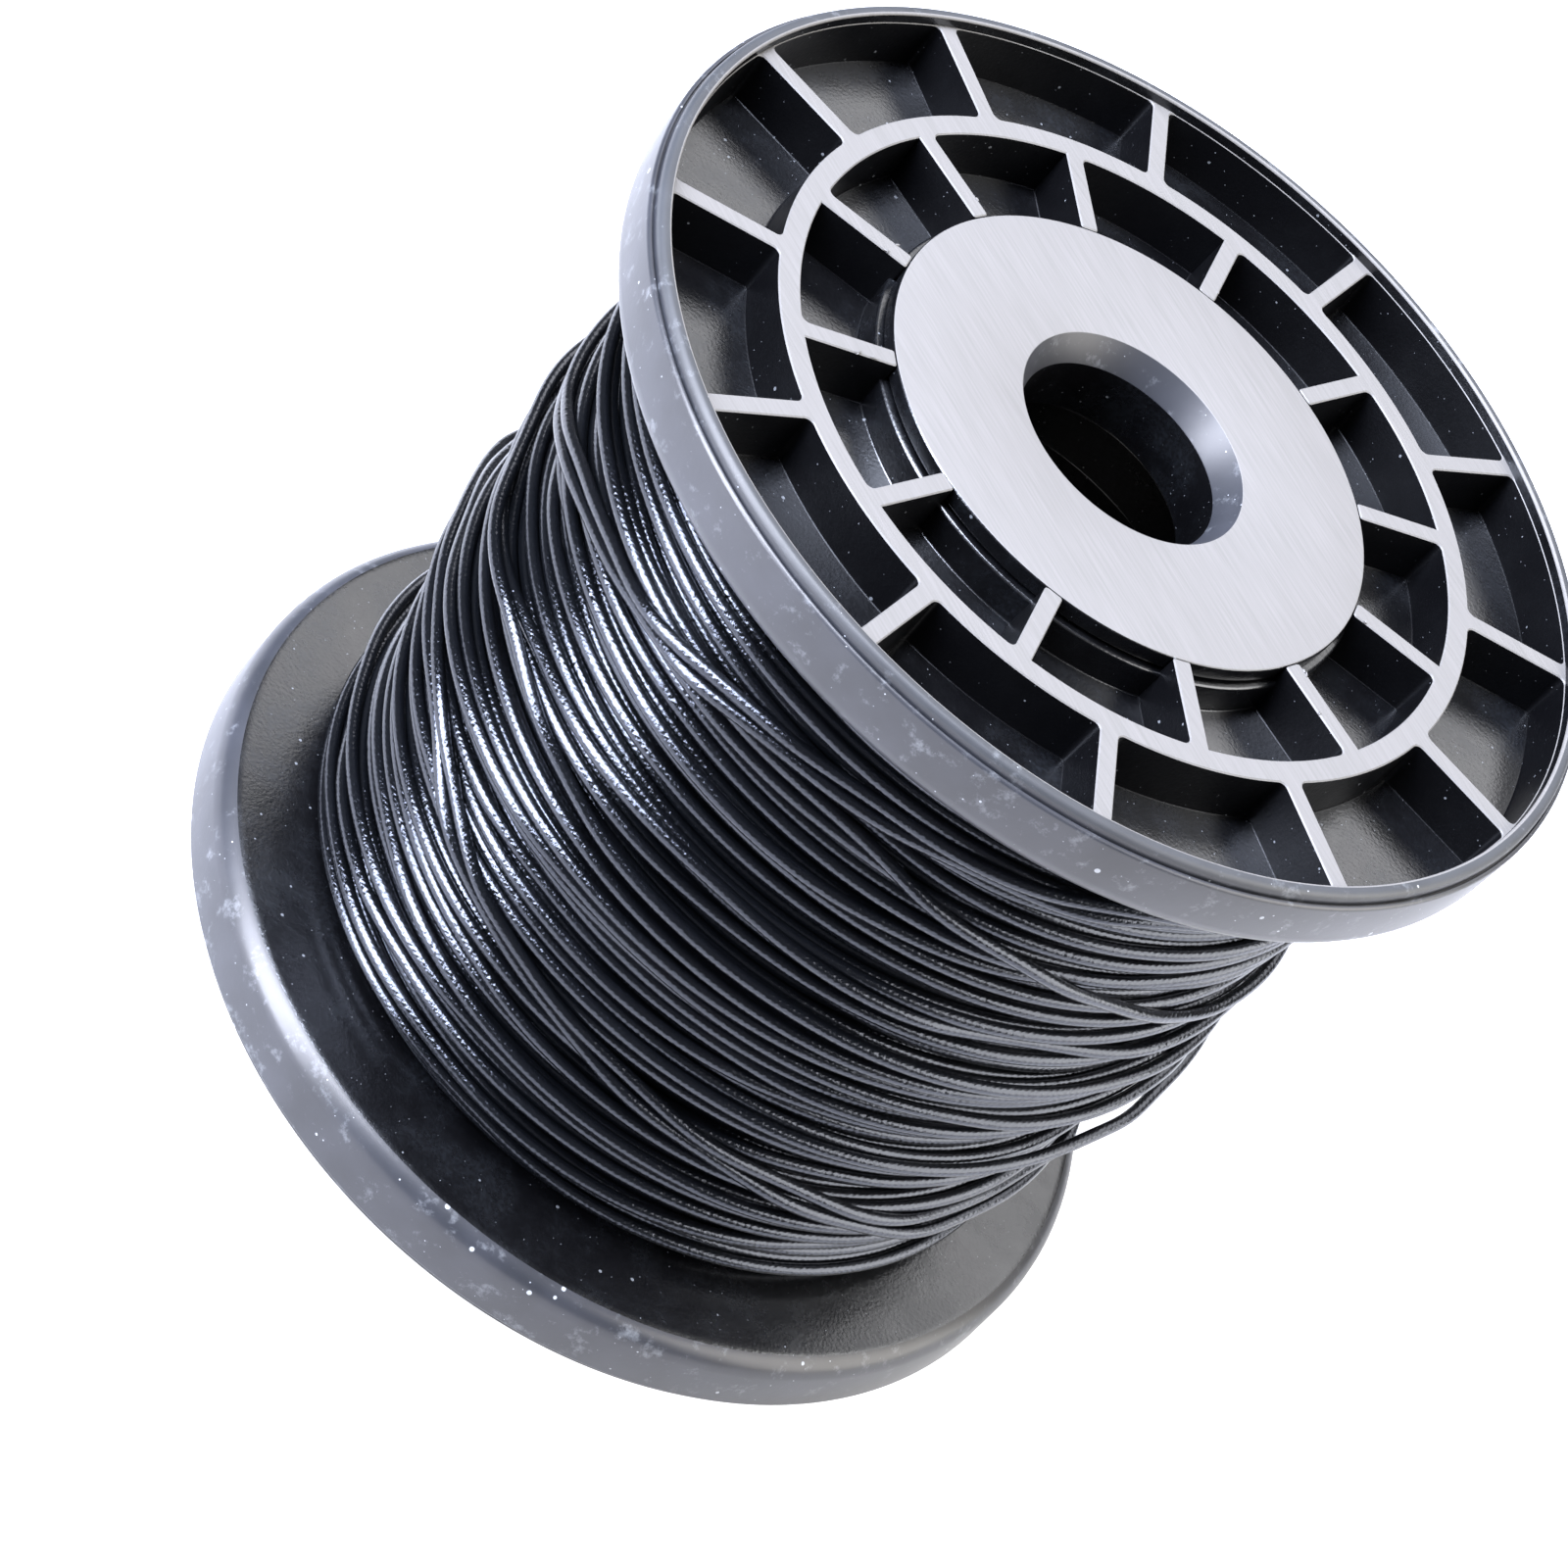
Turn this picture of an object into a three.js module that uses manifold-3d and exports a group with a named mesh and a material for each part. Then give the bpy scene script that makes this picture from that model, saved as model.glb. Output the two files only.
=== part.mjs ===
// A reel of racket string, standing on its back flange with its spool axis along +Z.
// Two moulded flanges sit on a hollow barrel, held by a plug (the hub) pressed into each end,
// and one long string is wound between them. Sizes are in millimetres.
// The origin is the centre of the plane that the back flange's lip stands on.

import * as THREE from 'three';
import { mergeVertices } from 'three/addons/utils/BufferGeometryUtils.js';
import Module from 'manifold-3d';

const wasm = await Module();
wasm.setup();

// ---------------------------------------------------------------- driving dimensions

const REEL_LENGTH = 91; // lip plane to lip plane
const SEAT_GAP = 0.3; // left between pieces that rest on each other
const REVOLVE_STEPS = 48; // facets round every turned shape

// Flange: depths are measured from the lip plane towards the string.
const FLANGE_RADIUS = 50;
const FLANGE_DEPTH = 8.1; // lip plane to the face that the string lies against
const WEB_THICKNESS = 1.8;
const RIM_THICKNESS = 1.8; // band to the lip's inner edge
const RIM_DRAFT = 0.3; // how much the rim thickens towards the web
const BAND_TAPER = 0.2; // how much smaller the band is at the string side
const BAND_START_DEPTH = 1.07; // front edge of the band, behind the groove
const BAND_EDGE_BEVEL = 0.4;
const STRING_EDGE_ROUND = 2.3; // big round between the band and the string-side face
const STRING_EDGE_STEPS = 4;
const BEAD_INSET = 0.6; // from the band in to the raised lip's own wall
const BEAD_ROUND = 0.6;
const BEAD_STEPS = 2;
const GROOVE_DEPTH = 0.23; // groove between the lip and the band
const GROOVE_WIDTH = 0.2;
const CORNER_BEVEL = 0.8; // inside corners at the bottom of the pockets

// Ribs and mid ring stand in the dish of the flange.
const RIB_RECESS = 1.1; // lip plane to the tops
const RIB_THICKNESS = 1.6;
const RIB_DRAFT = 0.2; // added to each side of a rib at the bottom
const RIB_ROOT = 0.5; // how far ribs and ring run into what they stand on
const RIBS_PER_RING = 12;
const RIB_PHASE = THREE.MathUtils.degToRad(9);
const MID_RING_RADIUS = 35.9; // centre of the ring's wall
const MID_RING_THICKNESS = 2;

// Hub: the plug whose ground head shows inside the inner ribs.
const HEAD_RADIUS = 25.34;
const HEAD_RECESS = 1.15; // lip plane to the ground face
const HEAD_THICKNESS = 1.6;
const HEAD_BEVEL = 0.25;
const HUB_WALL = 2.65; // end wall, ground face to its inner side
const BORE_RADIUS = 10.4;
const BORE_MOUTH_RADIUS = 11.83;
const BORE_MOUTH_DEPTH = 2.73; // length of the tapered mouth
const SLEEVE_THICKNESS = 2;
const SLEEVE_END_DEPTH = 10; // lip plane to the inner end of the bore sleeve
const SKIRT_THICKNESS = 2;
const SKIRT_GRIP = 14; // how far the skirt reaches into the barrel
const LEAD_IN = 0.5; // bevels that let the skirt enter
const COLLAR_LEDGE = 0.66; // the flange's collar shows this much outside the head

// Barrel and string.
const BARREL_THICKNESS = 3.3;
const STRING_DIAMETER = 1.3;
const PACKAGE_INSET = 6.8; // how far the wound string lies below the flange's edge
const TURN_SPACING = 2.75; // between the turns of the outer layer
const STEPS_PER_TURN = 24;
const STRING_SIDES = 6;
const END_BEND_RADIUS = 2.6; // two string diameters
const END_BEND_STEPS = 4;
const WANDER = 0.45; // sideways drift of the turns
const WANDER_RATE = 1.37; // drift waves in each turn
const CORE_STEPS = 14;
const START_ANGLE = THREE.MathUtils.degToRad(95);

// One turn has gone slack and stands off the package.
const SLACK_HEIGHT = 33.6;
const SLACK_RISE = 5;
const SLACK_ANGLE = THREE.MathUtils.degToRad(32);
const SLACK_SPREAD = THREE.MathUtils.degToRad(34);

// Swell of the wound package from the back flange to the front one:
// share of the way along, and how far the surface lies outside its mean radius.
const PACKAGE_SWELL = [
  [0, -1.4],
  [0.08, 0],
  [0.27, -1.2],
  [0.47, 0.6],
  [0.68, -0.3],
  [0.82, 0.4],
  [0.94, 3.8],
  [1, 2.6],
];

// ---------------------------------------------------------------- sizes worked out

const lipInnerRadius = FLANGE_RADIUS - RIM_THICKNESS;
const floorDepth = FLANGE_DEPTH - WEB_THICKNESS;
const headSeatDepth = HEAD_RECESS + HEAD_THICKNESS;
const collarTopDepth = headSeatDepth + SEAT_GAP;
const collarRadius = HEAD_RADIUS + COLLAR_LEDGE;
const barrelRadius = collarRadius; // the collar stands over the barrel's wall
const socketRadius = barrelRadius - BARREL_THICKNESS;
const skirtRadius = socketRadius - SEAT_GAP;
const barrelStart = FLANGE_DEPTH + SEAT_GAP;
const barrelEnd = REEL_LENGTH - barrelStart;
const skirtEndDepth = barrelStart + SKIRT_GRIP;
const faceBack = FLANGE_DEPTH;
const faceFront = REEL_LENGTH - FLANGE_DEPTH;
const traverse = faceFront - faceBack;
const packageRadius = FLANGE_RADIUS - PACKAGE_INSET;
const stringRadius = STRING_DIAMETER / 2;

// ---------------------------------------------------------------- helpers

// A closed (radius, height) profile, listed anticlockwise, turned round the Z axis.
function turned(profile) {
  const points = profile.map(([radius, height]) => new THREE.Vector2(radius, height));
  points.push(points[0].clone());
  return new THREE.LatheGeometry(points, REVOLVE_STEPS).rotateX(Math.PI / 2);
}

// Points on an arc, both ends included.
function arc(centreX, centreY, radius, startDegrees, endDegrees, steps) {
  return Array.from({ length: steps + 1 }, (_, i) => {
    const angle = THREE.MathUtils.degToRad(THREE.MathUtils.lerp(startDegrees, endDegrees, i / steps));
    return [centreX + radius * Math.cos(angle), centreY + radius * Math.sin(angle)];
  });
}

function toSolid(geometry) {
  const bare = geometry.clone();
  bare.deleteAttribute('normal');
  bare.deleteAttribute('uv');
  const merged = mergeVertices(bare, 1e-4);
  const vertProperties = new Float32Array(merged.attributes.position.array);
  const triVerts = new Uint32Array(merged.index.array);
  return new wasm.Manifold(new wasm.Mesh({ numProp: 3, vertProperties, triVerts }));
}

function toGeometry(solid) {
  const { vertProperties, triVerts } = solid.getMesh();
  const geometry = new THREE.BufferGeometry();
  geometry.setAttribute('position', new THREE.BufferAttribute(vertProperties, 3));
  geometry.setIndex(new THREE.BufferAttribute(triVerts, 1));
  geometry.computeVertexNormals();
  return geometry;
}

function joined(geometries) {
  return toGeometry(geometries.map(toSolid).reduce((whole, solid) => whole.add(solid)));
}

// ---------------------------------------------------------------- flange

// Rim, web and collar in one turned shape, with the lip plane at height 0.
function flangeDish() {
  const bandBackRadius = FLANGE_RADIUS - BAND_TAPER;
  const beadRadius = FLANGE_RADIUS - BEAD_INSET;
  const bandStart = -BAND_START_DEPTH;
  const floor = -floorDepth;
  const rimFootRadius = lipInnerRadius - RIM_DRAFT;
  const edgeCentreRadius = bandBackRadius - STRING_EDGE_ROUND;
  const edgeCentreHeight = STRING_EDGE_ROUND - FLANGE_DEPTH;
  return turned([
    [socketRadius, -FLANGE_DEPTH],
    ...arc(edgeCentreRadius, edgeCentreHeight, STRING_EDGE_ROUND, -90, 0, STRING_EDGE_STEPS),
    [FLANGE_RADIUS, bandStart - BAND_EDGE_BEVEL],
    [FLANGE_RADIUS - BAND_EDGE_BEVEL, bandStart],
    [beadRadius + GROOVE_WIDTH, bandStart - GROOVE_DEPTH],
    [beadRadius, bandStart - GROOVE_DEPTH],
    ...arc(beadRadius - BEAD_ROUND, -BEAD_ROUND, BEAD_ROUND, 0, 90, BEAD_STEPS),
    [lipInnerRadius, 0],
    [rimFootRadius, floor + CORNER_BEVEL],
    [rimFootRadius - CORNER_BEVEL, floor],
    [collarRadius + CORNER_BEVEL, floor],
    [collarRadius, floor + CORNER_BEVEL],
    [collarRadius, -collarTopDepth],
    [socketRadius, -collarTopDepth],
  ]);
}

// The ring wall between the two rows of pockets, wider at its foot.
function midRing() {
  const topHalf = MID_RING_THICKNESS / 2;
  const footHalf = topHalf + RIB_DRAFT;
  return turned([
    [MID_RING_RADIUS - footHalf, -floorDepth - RIB_ROOT],
    [MID_RING_RADIUS + footHalf, -floorDepth - RIB_ROOT],
    [MID_RING_RADIUS + footHalf, -floorDepth],
    [MID_RING_RADIUS + topHalf, -RIB_RECESS],
    [MID_RING_RADIUS - topHalf, -RIB_RECESS],
    [MID_RING_RADIUS - footHalf, -floorDepth],
  ]);
}

// One rib: a tapered section across, drawn out from the inner to the outer radius.
function rib(innerRadius, outerRadius, angle) {
  const topHalf = RIB_THICKNESS / 2;
  const footHalf = topHalf + RIB_DRAFT;
  const section = new THREE.Shape();
  section.moveTo(-footHalf, -floorDepth - RIB_ROOT);
  section.lineTo(footHalf, -floorDepth - RIB_ROOT);
  section.lineTo(footHalf, -floorDepth);
  section.lineTo(topHalf, -RIB_RECESS);
  section.lineTo(-topHalf, -RIB_RECESS);
  section.lineTo(-footHalf, -floorDepth);
  section.closePath();
  const length = outerRadius - innerRadius;
  const geometry = new THREE.ExtrudeGeometry(section, { depth: length, bevelEnabled: false });
  // The drawn length now lies along +X, and the tops face +Z.
  geometry.rotateX(Math.PI / 2).rotateZ(Math.PI / 2);
  geometry.translate(innerRadius, 0, 0);
  return geometry.rotateZ(angle);
}

function flangeGeometry() {
  const step = (2 * Math.PI) / RIBS_PER_RING;
  const parts = [flangeDish(), midRing()];
  for (let i = 0; i < RIBS_PER_RING; i += 1) {
    const innerAngle = RIB_PHASE + i * step;
    parts.push(rib(HEAD_RADIUS + SEAT_GAP, MID_RING_RADIUS, innerAngle));
    parts.push(rib(MID_RING_RADIUS, lipInnerRadius + RIB_ROOT, innerAngle + step / 2));
  }
  return joined(parts);
}

// ---------------------------------------------------------------- hub and barrel

// End plug: ground head, end wall, bore sleeve, and the skirt that grips the barrel.
function hubGeometry() {
  const face = -HEAD_RECESS;
  const wallBack = face - HUB_WALL;
  const sleeveRadius = BORE_RADIUS + SLEEVE_THICKNESS;
  const skirtInner = skirtRadius - SKIRT_THICKNESS;
  return turned([
    [BORE_RADIUS, -SLEEVE_END_DEPTH],
    [sleeveRadius, -SLEEVE_END_DEPTH],
    [sleeveRadius, wallBack],
    [skirtInner, wallBack],
    [skirtInner, -skirtEndDepth],
    [skirtRadius - LEAD_IN, -skirtEndDepth],
    [skirtRadius, LEAD_IN - skirtEndDepth],
    [skirtRadius, -headSeatDepth],
    [HEAD_RADIUS, -headSeatDepth],
    [HEAD_RADIUS, face - HEAD_BEVEL],
    [HEAD_RADIUS - HEAD_BEVEL, face],
    [BORE_MOUTH_RADIUS, face],
    [BORE_RADIUS, face - BORE_MOUTH_DEPTH],
  ]);
}

function barrelGeometry() {
  return turned([
    [socketRadius + LEAD_IN, barrelStart],
    [barrelRadius, barrelStart],
    [barrelRadius, barrelEnd],
    [socketRadius + LEAD_IN, barrelEnd],
    [socketRadius, barrelEnd - LEAD_IN],
    [socketRadius, barrelStart + LEAD_IN],
  ]);
}

// ---------------------------------------------------------------- string

// Radius of the wound package's surface at a height.
function packageRadiusAt(height) {
  const share = THREE.MathUtils.clamp((height - faceBack) / traverse, 0, 1);
  const next = Math.max(1, PACKAGE_SWELL.findIndex(([at]) => at >= share));
  const [fromShare, fromSwell] = PACKAGE_SWELL[next - 1];
  const [toShare, toSwell] = PACKAGE_SWELL[next];
  const eased = THREE.MathUtils.smoothstep(share, fromShare, toShare);
  return packageRadius + THREE.MathUtils.lerp(fromSwell, toSwell, eased);
}

// Radius of the inner layers: under the lowest part of the outer layer nearby, its turns
// and the sag of their flat facets.
function coreRadiusAt(height) {
  const facetSag = packageRadius * (1 - Math.cos(Math.PI / STEPS_PER_TURN));
  const nearby = [height - STRING_DIAMETER, height, height + STRING_DIAMETER];
  return Math.min(...nearby.map(packageRadiusAt)) - STRING_DIAMETER - facetSag - SEAT_GAP;
}

function coreGeometry() {
  const innerRadius = barrelRadius + SEAT_GAP;
  const start = faceBack + SEAT_GAP;
  const end = faceFront - SEAT_GAP;
  const outside = Array.from({ length: CORE_STEPS + 1 }, (_, i) => {
    const height = THREE.MathUtils.lerp(start, end, i / CORE_STEPS);
    return [coreRadiusAt(height), height];
  });
  return turned([[innerRadius, end], [innerRadius, start], ...outside]);
}

function cylindrical(radius, angle, height) {
  return new THREE.Vector3(radius * Math.cos(angle), radius * Math.sin(angle), height);
}

// One end of the string, from a flange face inwards: a straight run square to the face, then a
// bend round the package. Angles grow away from the end where side is 1, and towards it at -1.
function stringEnd(faceHeight, windingHeight, windingAngle, side) {
  const radius = packageRadiusAt(windingHeight) - stringRadius;
  const inwards = Math.sign(windingHeight - faceHeight);
  const runAngle = windingAngle - (side * END_BEND_RADIUS) / radius;
  const points = [cylindrical(radius, runAngle, faceHeight + inwards * SEAT_GAP)];
  for (let i = 0; i < END_BEND_STEPS; i += 1) {
    const bent = ((i / END_BEND_STEPS) * Math.PI) / 2;
    const angle = windingAngle - (side * END_BEND_RADIUS * Math.cos(bent)) / radius;
    const height = windingHeight - inwards * END_BEND_RADIUS * (1 - Math.sin(bent));
    points.push(cylindrical(radius, angle, height));
  }
  return points;
}

// Centre line of the outer layer, from the back flange to the front one.
function windingPath() {
  const endRoom = SEAT_GAP + STRING_DIAMETER + END_BEND_RADIUS;
  const start = faceBack + endRoom;
  const end = faceFront - endRoom;
  const turns = Math.floor((end - start) / TURN_SPACING);
  const pitch = (end - start) / turns;
  const slackTurn = Math.round((SLACK_HEIGHT - start) / pitch);
  const slackAt = slackTurn + (SLACK_ANGLE - START_ANGLE) / (2 * Math.PI);
  const slackWidth = SLACK_SPREAD / (2 * Math.PI);
  const coil = [];
  for (let i = 0; i <= turns * STEPS_PER_TURN; i += 1) {
    const turn = i / STEPS_PER_TURN;
    const drift = WANDER * Math.sin((Math.PI * turn) / turns) * Math.sin(2 * Math.PI * WANDER_RATE * turn);
    const height = start + pitch * turn + drift;
    const slack = SLACK_RISE * Math.exp(-(((turn - slackAt) / slackWidth) ** 2));
    const radius = packageRadiusAt(height) - stringRadius + slack;
    coil.push(cylindrical(radius, START_ANGLE + 2 * Math.PI * turn, height));
  }
  const endAngle = START_ANGLE + 2 * Math.PI * turns;
  const backEnd = stringEnd(faceBack, start, START_ANGLE, 1);
  const frontEnd = stringEnd(faceFront, end, endAngle, -1).reverse();
  return [...backEnd, ...coil, ...frontEnd];
}

// Least distance between surfaces of turns that lie beside each other.
function leastGap(path) {
  let least = Infinity;
  for (let i = 0; i < path.length; i += 1) {
    for (let j = i + STEPS_PER_TURN / 2; j < path.length; j += 1) {
      least = Math.min(least, path[i].distanceTo(path[j]));
    }
  }
  return least - STRING_DIAMETER;
}

// A closed tube round a path, one ring of points at each step and a flat cap at each end.
function tubeGeometry(path) {
  const positions = [];
  const index = [];
  path.forEach((point, i) => {
    const before = path[Math.max(0, i - 1)];
    const after = path[Math.min(path.length - 1, i + 1)];
    const tangent = after.clone().sub(before).normalize();
    const outward = new THREE.Vector3(point.x, point.y, 0).normalize();
    const side = new THREE.Vector3().crossVectors(tangent, outward).normalize();
    const up = new THREE.Vector3().crossVectors(side, tangent);
    for (let k = 0; k < STRING_SIDES; k += 1) {
      const angle = (2 * Math.PI * k) / STRING_SIDES;
      const corner = point.clone();
      corner.addScaledVector(up, stringRadius * Math.cos(angle));
      corner.addScaledVector(side, stringRadius * Math.sin(angle));
      positions.push(corner.x, corner.y, corner.z);
    }
  });
  for (let i = 0; i < path.length - 1; i += 1) {
    for (let k = 0; k < STRING_SIDES; k += 1) {
      const a = i * STRING_SIDES + k;
      const b = i * STRING_SIDES + ((k + 1) % STRING_SIDES);
      index.push(a, b, a + STRING_SIDES, b, b + STRING_SIDES, a + STRING_SIDES);
    }
  }
  const last = (path.length - 1) * STRING_SIDES;
  for (let k = 1; k < STRING_SIDES - 1; k += 1) {
    index.push(0, k + 1, k);
    index.push(last, last + k, last + k + 1);
  }
  const geometry = new THREE.BufferGeometry();
  geometry.setAttribute('position', new THREE.Float32BufferAttribute(positions, 3));
  geometry.setIndex(index);
  geometry.computeVertexNormals();
  return geometry;
}

// ---------------------------------------------------------------- materials and scene

const mouldedBlack = new THREE.MeshStandardMaterial({ color: '#232427', roughness: 0.4, metalness: 0 });
const groundGrey = new THREE.MeshStandardMaterial({ color: '#8f9195', roughness: 0.6, metalness: 0 });
const barrelBlack = new THREE.MeshStandardMaterial({ color: '#1c1d1f', roughness: 0.5, metalness: 0 });
const stringBlack = new THREE.MeshStandardMaterial({ color: '#14161a', roughness: 0.25, metalness: 0 });

function piece(name, geometry, material) {
  const mesh = new THREE.Mesh(geometry, material);
  mesh.name = name;
  return mesh;
}

// The flange and hub shapes face +Z from the lip plane; this group stands one pair at an end.
function endGroup(side) {
  const group = new THREE.Group();
  group.add(piece(`${side}_flange`, flangeGeometry(), mouldedBlack));
  group.add(piece(`${side}_hub`, hubGeometry(), groundGrey));
  return group;
}

const frontGroup = endGroup('front');
frontGroup.position.z = REEL_LENGTH;
const backGroup = endGroup('back');
backGroup.rotation.x = Math.PI;

const windingLine = windingPath();
console.log(`least gap between the string's turns: ${leastGap(windingLine).toFixed(2)} mm`);

const reel = new THREE.Group();
reel.name = 'string_reel';
reel.add(frontGroup, backGroup);
reel.add(piece('barrel', barrelGeometry(), barrelBlack));
reel.add(piece('string_core', coreGeometry(), stringBlack));
reel.add(piece('string_winding', tubeGeometry(windingLine), stringBlack));

export default reel;
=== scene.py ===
"""Looks of a reel of racket string: two ribbed flanges, a plug in each end and one long string.

The reel stands on its back flange with its axis along +Z. Sizes are in millimetres here and
are turned to metres where a shape or a setting takes them.
"""

import math
import random
from functools import partial

import bmesh
import bpy
import numpy as np
from mathutils import Matrix, Quaternion, Vector


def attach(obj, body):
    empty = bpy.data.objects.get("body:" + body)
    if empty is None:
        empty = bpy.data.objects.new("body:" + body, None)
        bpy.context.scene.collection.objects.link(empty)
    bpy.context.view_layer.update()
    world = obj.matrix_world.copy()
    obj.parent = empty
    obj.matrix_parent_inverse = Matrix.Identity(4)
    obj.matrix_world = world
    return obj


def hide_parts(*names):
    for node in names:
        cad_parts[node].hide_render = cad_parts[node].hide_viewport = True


bl_info = {
    "name": "String reel",
    "version": (1, 0, 0),
    "blender": (4, 5, 0),
    "location": "View3D > Sidebar > String reel",
    "description": "Builds the looks of a reel of racket string round its packed frame",
    "category": "Object",
}

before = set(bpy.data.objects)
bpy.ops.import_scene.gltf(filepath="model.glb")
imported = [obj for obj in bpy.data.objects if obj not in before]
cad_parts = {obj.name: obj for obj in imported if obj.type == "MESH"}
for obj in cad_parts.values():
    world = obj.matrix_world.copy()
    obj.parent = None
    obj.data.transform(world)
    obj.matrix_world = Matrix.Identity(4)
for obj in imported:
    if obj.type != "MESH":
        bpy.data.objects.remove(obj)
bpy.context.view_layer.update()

MM = 0.001

# ------------------------------------------------------------------ sizes shared by the pieces

REEL_LENGTH = 91  # lip plane to lip plane
FLANGE_RADIUS = 50
FLANGE_DEPTH = 8.1  # lip plane to the face that the string lies against
WEB_THICKNESS = 1.8
FLOOR_DEPTH = FLANGE_DEPTH - WEB_THICKNESS
RIM_THICKNESS = 1.8
LIP_INNER_RADIUS = FLANGE_RADIUS - RIM_THICKNESS
HEAD_RADIUS = 25.34
HEAD_RECESS = 1.15
HEAD_THICKNESS = 1.6
SEAT_GAP = 0.3
COLLAR_LEDGE = 0.66  # head's edge to the collar's outside
BARREL_THICKNESS = 3.3
BARREL_RADIUS = HEAD_RADIUS + COLLAR_LEDGE
SOCKET_RADIUS = BARREL_RADIUS - BARREL_THICKNESS
TURN_STEPS = 240  # facets round a turned shape
SMOOTH_ANGLE = 35  # degrees; faces that meet at more than this have a sharp edge

# ------------------------------------------------------------------ small helpers


def linear(hex_colour):
    """Linear red, green, blue and alpha of an sRGB hex colour."""
    parts = [int(hex_colour[i : i + 2], 16) / 255 for i in (1, 3, 5)]
    return [*(c / 12.92 if c <= 0.04045 else ((c + 0.055) / 1.055) ** 2.4 for c in parts), 1.0]


def mm(size):
    """Millimetres of a size that is set in metres."""
    return size / MM


def add_node(tree, kind, settings=None, inputs=None):
    """Adds a node, sets its own values, and sets or links its inputs."""
    node = tree.nodes.new(kind)
    for key, value in (settings or {}).items():
        setattr(node, key, value)
    for key, value in (inputs or {}).items():
        if isinstance(value, bpy.types.NodeSocket):
            tree.links.new(value, node.inputs[key])
        else:
            node.inputs[key].default_value = value
    return node


def combined(tree, operation, first, second):
    """Two values joined in one by a mathematical operation."""
    node = add_node(tree, "ShaderNodeMath", {"operation": operation}, {0: first, 1: second})
    return node.outputs["Value"]


def new_material(name):
    """An empty material with its shader, ready for its pattern nodes."""
    material = bpy.data.materials.new(name)
    material.use_nodes = True
    tree = material.node_tree
    tree.nodes.clear()
    shader = add_node(tree, "ShaderNodeBsdfPrincipled")
    add_node(tree, "ShaderNodeOutputMaterial", inputs={"Surface": shader.outputs["BSDF"]})
    return material, tree, shader


def link_input(tree, shader, name, output):
    """Feeds a shader's input from another node."""
    tree.links.new(output, shader.inputs[name])


def show(name, bm, materials):
    """Makes a piece of a shape in millimetres, with its soft edges smooth."""
    bmesh.ops.recalc_face_normals(bm, faces=bm.faces)
    bmesh.ops.scale(bm, verts=bm.verts, vec=(MM, MM, MM))
    mesh = bpy.data.meshes.new(name)
    bm.to_mesh(mesh)
    bm.free()
    return show_mesh(name, mesh, materials, SMOOTH_ANGLE)


def show_mesh(name, mesh, materials, smooth_angle):
    """Makes a piece of a mesh in metres, smooth where its faces meet at less than an angle."""
    mesh.shade_smooth()
    mesh.set_sharp_from_angle(angle=math.radians(smooth_angle))
    for material in materials:
        mesh.materials.append(material)
    piece = bpy.data.objects.new(name, mesh)
    bpy.context.scene.collection.objects.link(piece)
    return piece


# ------------------------------------------------------------------ turned shapes

FILLET_STEP = 18  # degrees of turn for each facet of a rounded corner


def turned(corners, steps=TURN_STEPS):
    """A closed profile of (radius, height, rounding) corners, turned once round the Z axis."""
    bm = bmesh.new()
    places = [Vector((radius, 0, height)) for radius, height, _ in corners]
    verts = [bm.verts.new(place) for place in places]
    for i, vert in enumerate(verts):
        bm.edges.new((verts[i - 1], vert))
    for i, (_, _, rounding) in enumerate(corners):
        if rounding:
            before = places[i] - places[i - 1]
            after = places[(i + 1) % len(places)] - places[i]
            round_corner(bm, verts[i], rounding, before.angle(after))
    turn_profile(bm, steps)
    return bm


def round_corner(bm, vert, rounding, turn):
    """Rounds the corner at a vertex where two edges meet and the line turns by an angle."""
    bmesh.ops.bevel(
        bm,
        geom=[vert],
        offset=rounding * math.tan(turn / 2),
        offset_type="OFFSET",
        segments=max(2, round(math.degrees(turn) / FILLET_STEP)),
        profile=0.5,
        affect="VERTICES",
        material=-1,
    )


def turn_profile(bm, steps):
    """Turns the profile that a shape holds once round the Z axis."""
    bmesh.ops.spin(
        bm,
        geom=bm.verts[:] + bm.edges[:],
        cent=(0, 0, 0),
        axis=(0, 0, 1),
        dvec=(0, 0, 0),
        angle=2 * math.pi,
        steps=steps,
        use_merge=True,
    )
    bmesh.ops.recalc_face_normals(bm, faces=bm.faces)


def place_at_end(bm, end):
    """Stands a shape made with its lip plane at height 0 at the front or the back of the reel."""
    if end == "front":
        bmesh.ops.translate(bm, verts=bm.verts, vec=(0, 0, REEL_LENGTH))
    else:
        bmesh.ops.rotate(bm, verts=bm.verts, cent=(0, 0, 0), matrix=Matrix.Rotation(math.pi, 3, "X"))


# ------------------------------------------------------------------ materials

ABS_IOR = 1.53
POLYESTER_IOR = 1.57
SPECK_RADIUS = 0.13  # of the largest specks, as a share of their cell

# Least and greatest roughness, specular level and share of greyer cloudy tone: as moulded, and on dragged
# walls.
MOULDED_GLOSS = (0.2, 0.32, 0.7, 1.0)
# the walls' small share of greyer tone keeps their black darker: painted shade in the pockets
DRAWN_GLOSS_AND_SHADE = (0.3, 0.4, 0.2, 0.1)

BAND_ROUGHNESS = 0.36
LIP_ROUGHNESS = 0.5
MOUTH_ROUGHNESS = 0.45
GROUND_ROUGHNESS = 0.55


def noise(tree, place, scale, detail, roughness=0.5):
    """Cloudy noise from 0 to 1, in patches of about one metre divided by its scale."""
    clouds = add_node(
        tree,
        "ShaderNodeTexNoise",
        inputs={"Vector": place, "Scale": scale, "Detail": detail, "Roughness": roughness},
    )
    return clouds.outputs["Fac"]


def ranged(tree, value, given, wanted):
    """Moves a value from one pair of limits to another and holds it between them."""
    moved = add_node(
        tree,
        "ShaderNodeMapRange",
        inputs={
            "Value": value,
            "From Min": given[0],
            "From Max": given[1],
            "To Min": wanted[0],
            "To Max": wanted[1],
        },
    )
    return moved.outputs["Result"]


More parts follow.
